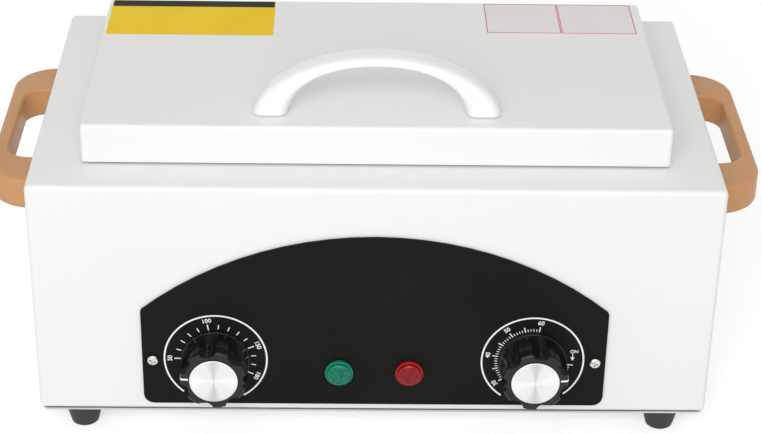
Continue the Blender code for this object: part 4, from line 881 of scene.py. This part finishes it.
# Signal lamps
# Each is a coloured acrylic lens with a flat flange, a groove and a raised disc whose inside is pebbled.
# It is pushed over a white barrel that holds the lamp behind the panel.
def lens_finish(name, colour, deep, middle):
    """Coloured clear plastic whose pebbles show on the raised disc only."""
    finish, nodes, links, shader = new_finish(name, colour, 0.14)
    shader.inputs["Coat Weight"].default_value = 0.15
    shader.inputs["Specular IOR Level"].default_value = 0.22
    shader.inputs["Coat Roughness"].default_value = 0.05
    place = nodes.new("ShaderNodeTexCoord").outputs["Object"]
    pebbles = nodes.new("ShaderNodeTexVoronoi")
    pebbles.inputs["Scale"].default_value = 620.0
    links.new(place, pebbles.inputs["Vector"])
    reach = nodes.new("ShaderNodeVectorMath")
    reach.operation = "DISTANCE"
    reach.inputs[1].default_value = middle
    links.new(place, reach.inputs[0])
    inside = nodes.new("ShaderNodeMapRange")
    inside.inputs["From Min"].default_value = 0.0047
    inside.inputs["From Max"].default_value = 0.0052
    inside.inputs["To Min"].default_value = 1.0
    inside.inputs["To Max"].default_value = 0.0
    links.new(reach.outputs["Value"], inside.inputs["Value"])
    pebbled = math_node(nodes, links, "MULTIPLY", pebbles.outputs["Distance"], inside.outputs["Result"])
    embossed(nodes, links, shader, pebbled, 0.7, 0.0006)
    tone = nodes.new("ShaderNodeMix")
    tone.data_type = "RGBA"
    tone.inputs["A"].default_value = (*colour, 1)
    tone.inputs["B"].default_value = (*deep, 1)
    links.new(pebbled, tone.inputs["Factor"])
    links.new(tone.outputs["Result"], shader.inputs["Base Color"])
    return finish


flange_radius = 0.0069
flange = 0.0016
groove_width = 0.0004
groove_depth = 0.0005
disc_height = 0.0014
lens_wall = 0.0029
hollow = 0.0014
lens_front = 0.0032
for word, colour, deep in (
    ("green", (0.0, 0.23, 0.14), (0.0, 0.09, 0.055)),
    ("red", (0.36, 0.005, 0.006), (0.12, 0.0, 0.003)),
):
    low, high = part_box(word + "_lamp_lens")
    spot = (low + high) / 2
    flange_middle = (spot.x, high.y - flange / 2, spot.z)
    lens = disc(word + "_signal_lens", flange_radius, flange, flange_middle, 96)
    eased_front(0.0003, 4)
    bpy.ops.mesh.inset(thickness=0.0004, depth=0)
    bpy.ops.mesh.inset(thickness=0.0001, depth=-groove_depth)
    bpy.ops.mesh.inset(thickness=groove_width, depth=0)
    bpy.ops.mesh.extrude_region_move(TRANSFORM_OT_translate={"value": (0, -disc_height, 0)})
    domed(spot, ((0.0002, 0.985), (0.0002, 0.955), (0.00015, 0.90), (0.0001, 0.75), (0.00005, 0.5)))
    choose("FACE", lambda face: face.normal.y > 0.9)
    bpy.ops.mesh.inset(thickness=lens_wall, depth=0)
    bpy.ops.mesh.extrude_region_move(TRANSFORM_OT_translate={"value": (0, -hollow, 0)})
    closed(lens)
    middle = (spot.x, high.y - lens_front, spot.z)
    dressed(lens, lens_finish(word + "_lens", colour, deep, middle), "case", angle=40)
    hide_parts(word + "_lamp_lens")
ivory = skin_finish(
    "white_moulding", (0.80, 0.80, 0.79), (0.76, 0.76, 0.74), 0.25, 0.35, cloud=40.0, grain=900.0
)
refinish(ivory, "green_lamp_holder", "red_lamp_holder", "terminal_block")


# Side handles
# Heat-resistant tan mouldings, one loop on each end of the case with a rounded opening for the fingers.
# Each is held by two screws from inside the case.
tan = skin_finish(
    "tan_moulding", (0.61, 0.315, 0.140), (0.565, 0.28, 0.118), 0.34, 0.44, cloud=16.0, grain=750.0, bump=0.18
)
tune(tan, {"Specular IOR Level": 0.3})
loop_round = 0.022
loop_wall = 0.007
half_opening = 0.0375
opening_round = 0.011
beyond = 0.003
for word, side in (("left", -1), ("right", 1)):
    low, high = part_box("side_handle_" + word)
    handle = block(word + "_carry_loop", low, high)
    outer = high.x if side > 0 else low.x
    choose("EDGE", lambda edge: runs_along(edge, z_axis) and abs(edge.verts[0].co.x - outer) < 0.0001)
    bpy.ops.mesh.bevel(offset=loop_round, segments=14, affect="EDGES")
    closed(handle)
    root = low.x if side > 0 else high.x
    inner = outer - side * loop_wall
    middle = (low.y + high.y) / 2
    near = (min(root - side * beyond, inner), middle - half_opening, low.z - beyond)
    far = (max(root - side * beyond, inner), middle + half_opening, high.z + beyond)
    opening = block("opening", near, far)
    choose("EDGE", lambda edge: runs_along(edge, z_axis) and abs(edge.verts[0].co.x - inner) < 0.0001)
    bpy.ops.mesh.bevel(offset=opening_round, segments=10, affect="EDGES")
    cut(handle, closed(opening))
    rounded_over(handle, 0.0026, segments=5)
    dressed(handle, tan, "case")
    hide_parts("side_handle_" + word)


# Lid cover
# A shallow box of the same enamelled sheet, open below, with rounded bends and two screw holes on top.
# It hangs on the hinges and closes over the tank with a narrow seam to the case.
lid_low, lid_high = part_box("lid_shell")
cover = block("lid_cover", lid_low, lid_high)
choose("FACE", lambda face: face.normal.z < -0.9)
bpy.ops.mesh.delete(type="FACE")
choose("EDGE", lambda edge: not edge.is_boundary)
bpy.ops.mesh.bevel(offset=0.002, segments=6, affect="EDGES")
made_sheet(cover)
arch_y = middle_of("lid_handle").y
arch_screw_x = 0.05185
arch_screw_hole = 0.0023
for side in (-1, 1):
    drill(cover, (side * arch_screw_x, arch_y, lid_high.z), arch_screw_hole, z_axis, sides=24)
dressed(cover, enamel, "lid")
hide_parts("lid_shell")


# Lid handle
# A white phenolic arch, moulded in one piece, thick at its feet and thinner over the fingers.
# It stands near the front of the lid and is held by two screws from below.
outer_foot = 0.0595
inner_foot = 0.0427
outer_rise = 0.0310
inner_rise = 0.0253
outer_roundness = 1.95
inner_roundness = 2.2
arch_width = 0.0132
arch_screw_depth = 0.0146
sink = 0.0038
arch_steps = 56
arch_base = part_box("lid_handle")[0].z


def ray_to_curve(turn, foot, rise, roundness):
    """How far a ray from the middle of the base runs to a squared-up ellipse centred a little under it."""
    height = rise + sink
    width = foot / (1 - (sink / height) ** roundness) ** (1 / roundness)
    near = 0.0
    far = foot + rise
    for _ in range(40):
        reach = (near + far) / 2
        aside = abs(reach * math.cos(turn)) / width
        up = (reach * math.sin(turn) + sink) / height
        if aside ** roundness + up ** roundness < 1:
            near = reach
        else:
            far = reach
    return near


foot_middle = ((outer_foot + inner_foot) / 2, arch_y, arch_base)
bpy.ops.mesh.primitive_plane_add(size=1, location=foot_middle)
arch = opened("lid_arch")
bpy.ops.transform.resize(value=(outer_foot - inner_foot, arch_width, 1), center_override=foot_middle)
bpy.ops.mesh.bevel(offset=0.0046, segments=6, affect="VERTICES")
bpy.ops.mesh.select_all(action="SELECT")
bpy.ops.mesh.spin(steps=arch_steps, angle=math.pi, center=(0, arch_y, arch_base), axis=(0, 1, 0))
for n in range(1, arch_steps):
    turn = math.pi * n / arch_steps
    outer = ray_to_curve(turn, outer_foot, outer_rise, outer_roundness)
    inner = ray_to_curve(turn, inner_foot, inner_rise, inner_roundness)
    share = (outer - inner) / (outer_foot - inner_foot)
    outward = inner - inner_foot * share
    choose("VERT", lambda point: abs(math.atan2(point.co.z - arch_base, point.co.x) - turn) < 0.01)
    bpy.ops.transform.resize(value=(share, 1, share), center_override=(0, arch_y, arch_base))
    bpy.ops.transform.translate(value=(outward * math.cos(turn), 0, outward * math.sin(turn)))
bpy.ops.mesh.select_all(action="SELECT")
bpy.ops.mesh.remove_doubles(threshold=0.00001)
bpy.ops.mesh.normals_make_consistent(inside=False)
closed(arch)
for side in (-1, 1):
    bpy.ops.mesh.primitive_cylinder_add(
        vertices=24, radius=arch_screw_hole, depth=arch_screw_depth,
        location=(side * arch_screw_x, arch_y, arch_base),
    )
    cut(arch, closed(opened("screw_way")))
rounded_over(arch, 0.0006, segments=2, angle=60)
gloss_white = skin_finish(
    "glossy_white_moulding", (0.90, 0.90, 0.90), (0.885, 0.885, 0.885), 0.14, 0.2,
    cloud=14.0, grain=500.0, bump=0.08,
)
tune(gloss_white, {"Coat Weight": 0.3, "Coat Roughness": 0.06})
dressed(arch, gloss_white, "lid")
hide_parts("lid_handle")
refinish(zinc, "lid_handle_screw_left", "lid_handle_screw_right")


# Labels on the lid
# Two self-adhesive plastic labels behind the handle: a yellow one with a dark band along its back edge,
# and a pale one in two fields with a thin red line round them. Both are bare.
def label(name, low, high, finish):
    """Lays a thin label with rounded corners on the lid."""
    plate = block(name, low, high)
    choose("EDGE", lambda edge: runs_along(edge, z_axis))
    bpy.ops.mesh.bevel(offset=0.0008, segments=4, affect="EDGES")
    closed(plate)
    dressed(plate, finish, "lid")


yellow = skin_finish(
    "yellow_label", (0.95, 0.66, 0.016), (0.92, 0.63, 0.014), 0.45, 0.55, cloud=30.0, grain=900.0
)
black_ink = skin_finish(
    "black_label_ink", (0.010, 0.010, 0.010), (0.013, 0.013, 0.013), 0.5, 0.6, cloud=60.0
)
for flat_print in (yellow, black_ink):
    tune(flat_print, {"Specular IOR Level": 0.15})
pale = skin_finish(
    "pale_label", (0.83, 0.80, 0.79), (0.80, 0.77, 0.76), 0.3, 0.38, cloud=30.0, grain=900.0
)
red_ink = skin_finish("red_label_ink", (0.62, 0.06, 0.045), (0.56, 0.05, 0.04), 0.35, 0.45, cloud=60.0)
lid_top = lid_high.z
film = 0.00008
print_low = lid_top + film + 0.00001
print_high = lid_top + film * 2
label("yellow_label", (-0.1384, 0.0329, lid_top + 0.00002), (-0.0525, 0.0756, lid_top + film), yellow)
label("yellow_label_band", (-0.1380, 0.0680, print_low), (-0.0529, 0.0752, print_high), black_ink)
label("pale_label", (0.0575, 0.0385, lid_top + 0.00002), (0.1360, 0.0756, lid_top + film), pale)
line_y = (0.0390, 0.0751)
red_width = 0.0004
for name, low_x, high_x in (("left", 0.0580, 0.0964), ("right", 0.0968, 0.1355)):
    red_line = block("red_line_" + name, (low_x, line_y[0], print_low), (high_x, line_y[1], print_high))
    closed(red_line)
    hole = block(
        "hole", (low_x + red_width, line_y[0] + red_width, lid_top - sheet),
        (high_x - red_width, line_y[1] - red_width, lid_top + sheet),
    )
    cut(red_line, closed(hole))
    dressed(red_line, red_ink, "lid")


# Lid liner and its insulation
# A pressed stainless pan closes the lid from below and bears on the flange of the tank.
# Mineral wool fills the space between it and the cover.
def smooth_copy(node, name, finish, body, angle):
    """Merges a copy of a CAD node's mesh, shades it smooth between its edges and shows it instead."""
    bpy.ops.object.select_all(action="DESELECT")
    copy = bpy.data.objects.new(name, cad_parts[node].data.copy())
    copy.data.name = name
    bpy.context.scene.collection.objects.link(copy)
    only(copy)
    bpy.ops.object.mode_set(mode="EDIT")
    bpy.ops.mesh.select_all(action="SELECT")
    bpy.ops.mesh.remove_doubles(threshold=0.000002)
    bpy.ops.mesh.tris_convert_to_quads(face_threshold=math.radians(1), shape_threshold=math.radians(180))
    closed(copy)
    dressed(copy, finish, body, angle=angle)
    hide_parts(node)


stainless = metal_finish(
    "brushed_stainless", (0.64, 0.64, 0.62), (0.57, 0.57, 0.55), 0.20, 0.34,
    stretch=(6.0, 900.0, 900.0), bump=0.12,
)
smooth_copy("lid_liner", "pressed_liner", stainless, "lid", angle=50)
wool = skin_finish(
    "mineral_wool", (0.66, 0.58, 0.36), (0.52, 0.45, 0.27), 0.9, 1.0,
    cloud=45.0, grain=1400.0, bump=0.9, depth=0.0004,
)
tune(wool, {"Sheen Weight": 0.2})
refinish(wool, "lid_insulation", "insulation_jacket")


# Hinges
# Two nickel-plated butt hinges of five knuckles each join the lid to the case behind the lid's back edge.
# One leaf of each is riveted to the case and one to the lid, and a pin with upset ends holds them together.
for word in ("left", "right"):
    smooth_copy(f"hinge_{word}_case_leaf", f"{word}_hinge_lower_leaf", nickel, "case", angle=40)
    smooth_copy(f"hinge_{word}_lid_leaf", f"{word}_hinge_upper_leaf", nickel, "lid", angle=40)
    smooth_copy(f"hinge_{word}_pin", f"{word}_hinge_wire_pin", nickel, "case", angle=50)


# Tank
# A deep-drawn stainless tank with rounded corners hangs in the case by its flange.
# Its inside is brushed along its length.
smooth_copy("inner_tank", "drawn_tank", stainless, "case", angle=40)


# Instrument tray
# A pressed stainless tray with punched holes and a flat rim, lifted by a bent wire handle at each end.
# The handles are spot-welded inside its end walls.
smooth_copy("instrument_tray", "punched_tray", stainless, "tray", angle=40)
wire = metal_finish(
    "polished_wire", (0.68, 0.68, 0.66), (0.62, 0.62, 0.60), 0.14, 0.24,
    stretch=(300.0, 300.0, 300.0), bump=0.05,
)
for word in ("left", "right"):
    smooth_copy("tray_handle_" + word, word + "_lifting_bail", wire, "tray", angle=60)


# Heating element and its ceramic bars
# A steel-sheathed tubular element, darkened by heat, lies in the grooves of two fired ceramic bars.
# It fills the pocket of the insulation under the tank.
dark_steel = metal_finish(
    "heat_darkened_steel", (0.20, 0.19, 0.18), (0.13, 0.12, 0.12), 0.42, 0.6,
    stretch=(60.0, 60.0, 60.0), bump=0.2,
)
smooth_copy("heating_element", "tubular_element", dark_steel, "case", angle=60)
ceramic = skin_finish(
    "fired_ceramic", (0.80, 0.77, 0.71), (0.72, 0.69, 0.62), 0.55, 0.7, cloud=50.0, grain=1600.0, bump=0.3
)
refinish(ceramic, "element_bar_left", "element_bar_right")


# Thermostat and timer
# A zinc-plated capillary thermostat with a copper bulb, and a clockwork timer in a black housing.
# Both hang on their necks behind the front of the case.
copper = metal_finish(
    "drawn_copper", (0.70, 0.36, 0.21), (0.55, 0.28, 0.17), 0.25, 0.4, stretch=(80.0, 80.0, 80.0), bump=0.08
)
smooth_copy("thermostat_bulb", "capillary_and_bulb", copper, "case", angle=60)
refinish(zinc, "thermostat")
refinish(phenolic, "timer")


# Cord inlet
# A black moulded gland in the back wall, with a hexagon nut inside. No cord is fitted to it.
smooth_copy("cord_gland", "moulded_cord_gland", phenolic, "case", angle=40)
refinish(phenolic, "gland_nut")
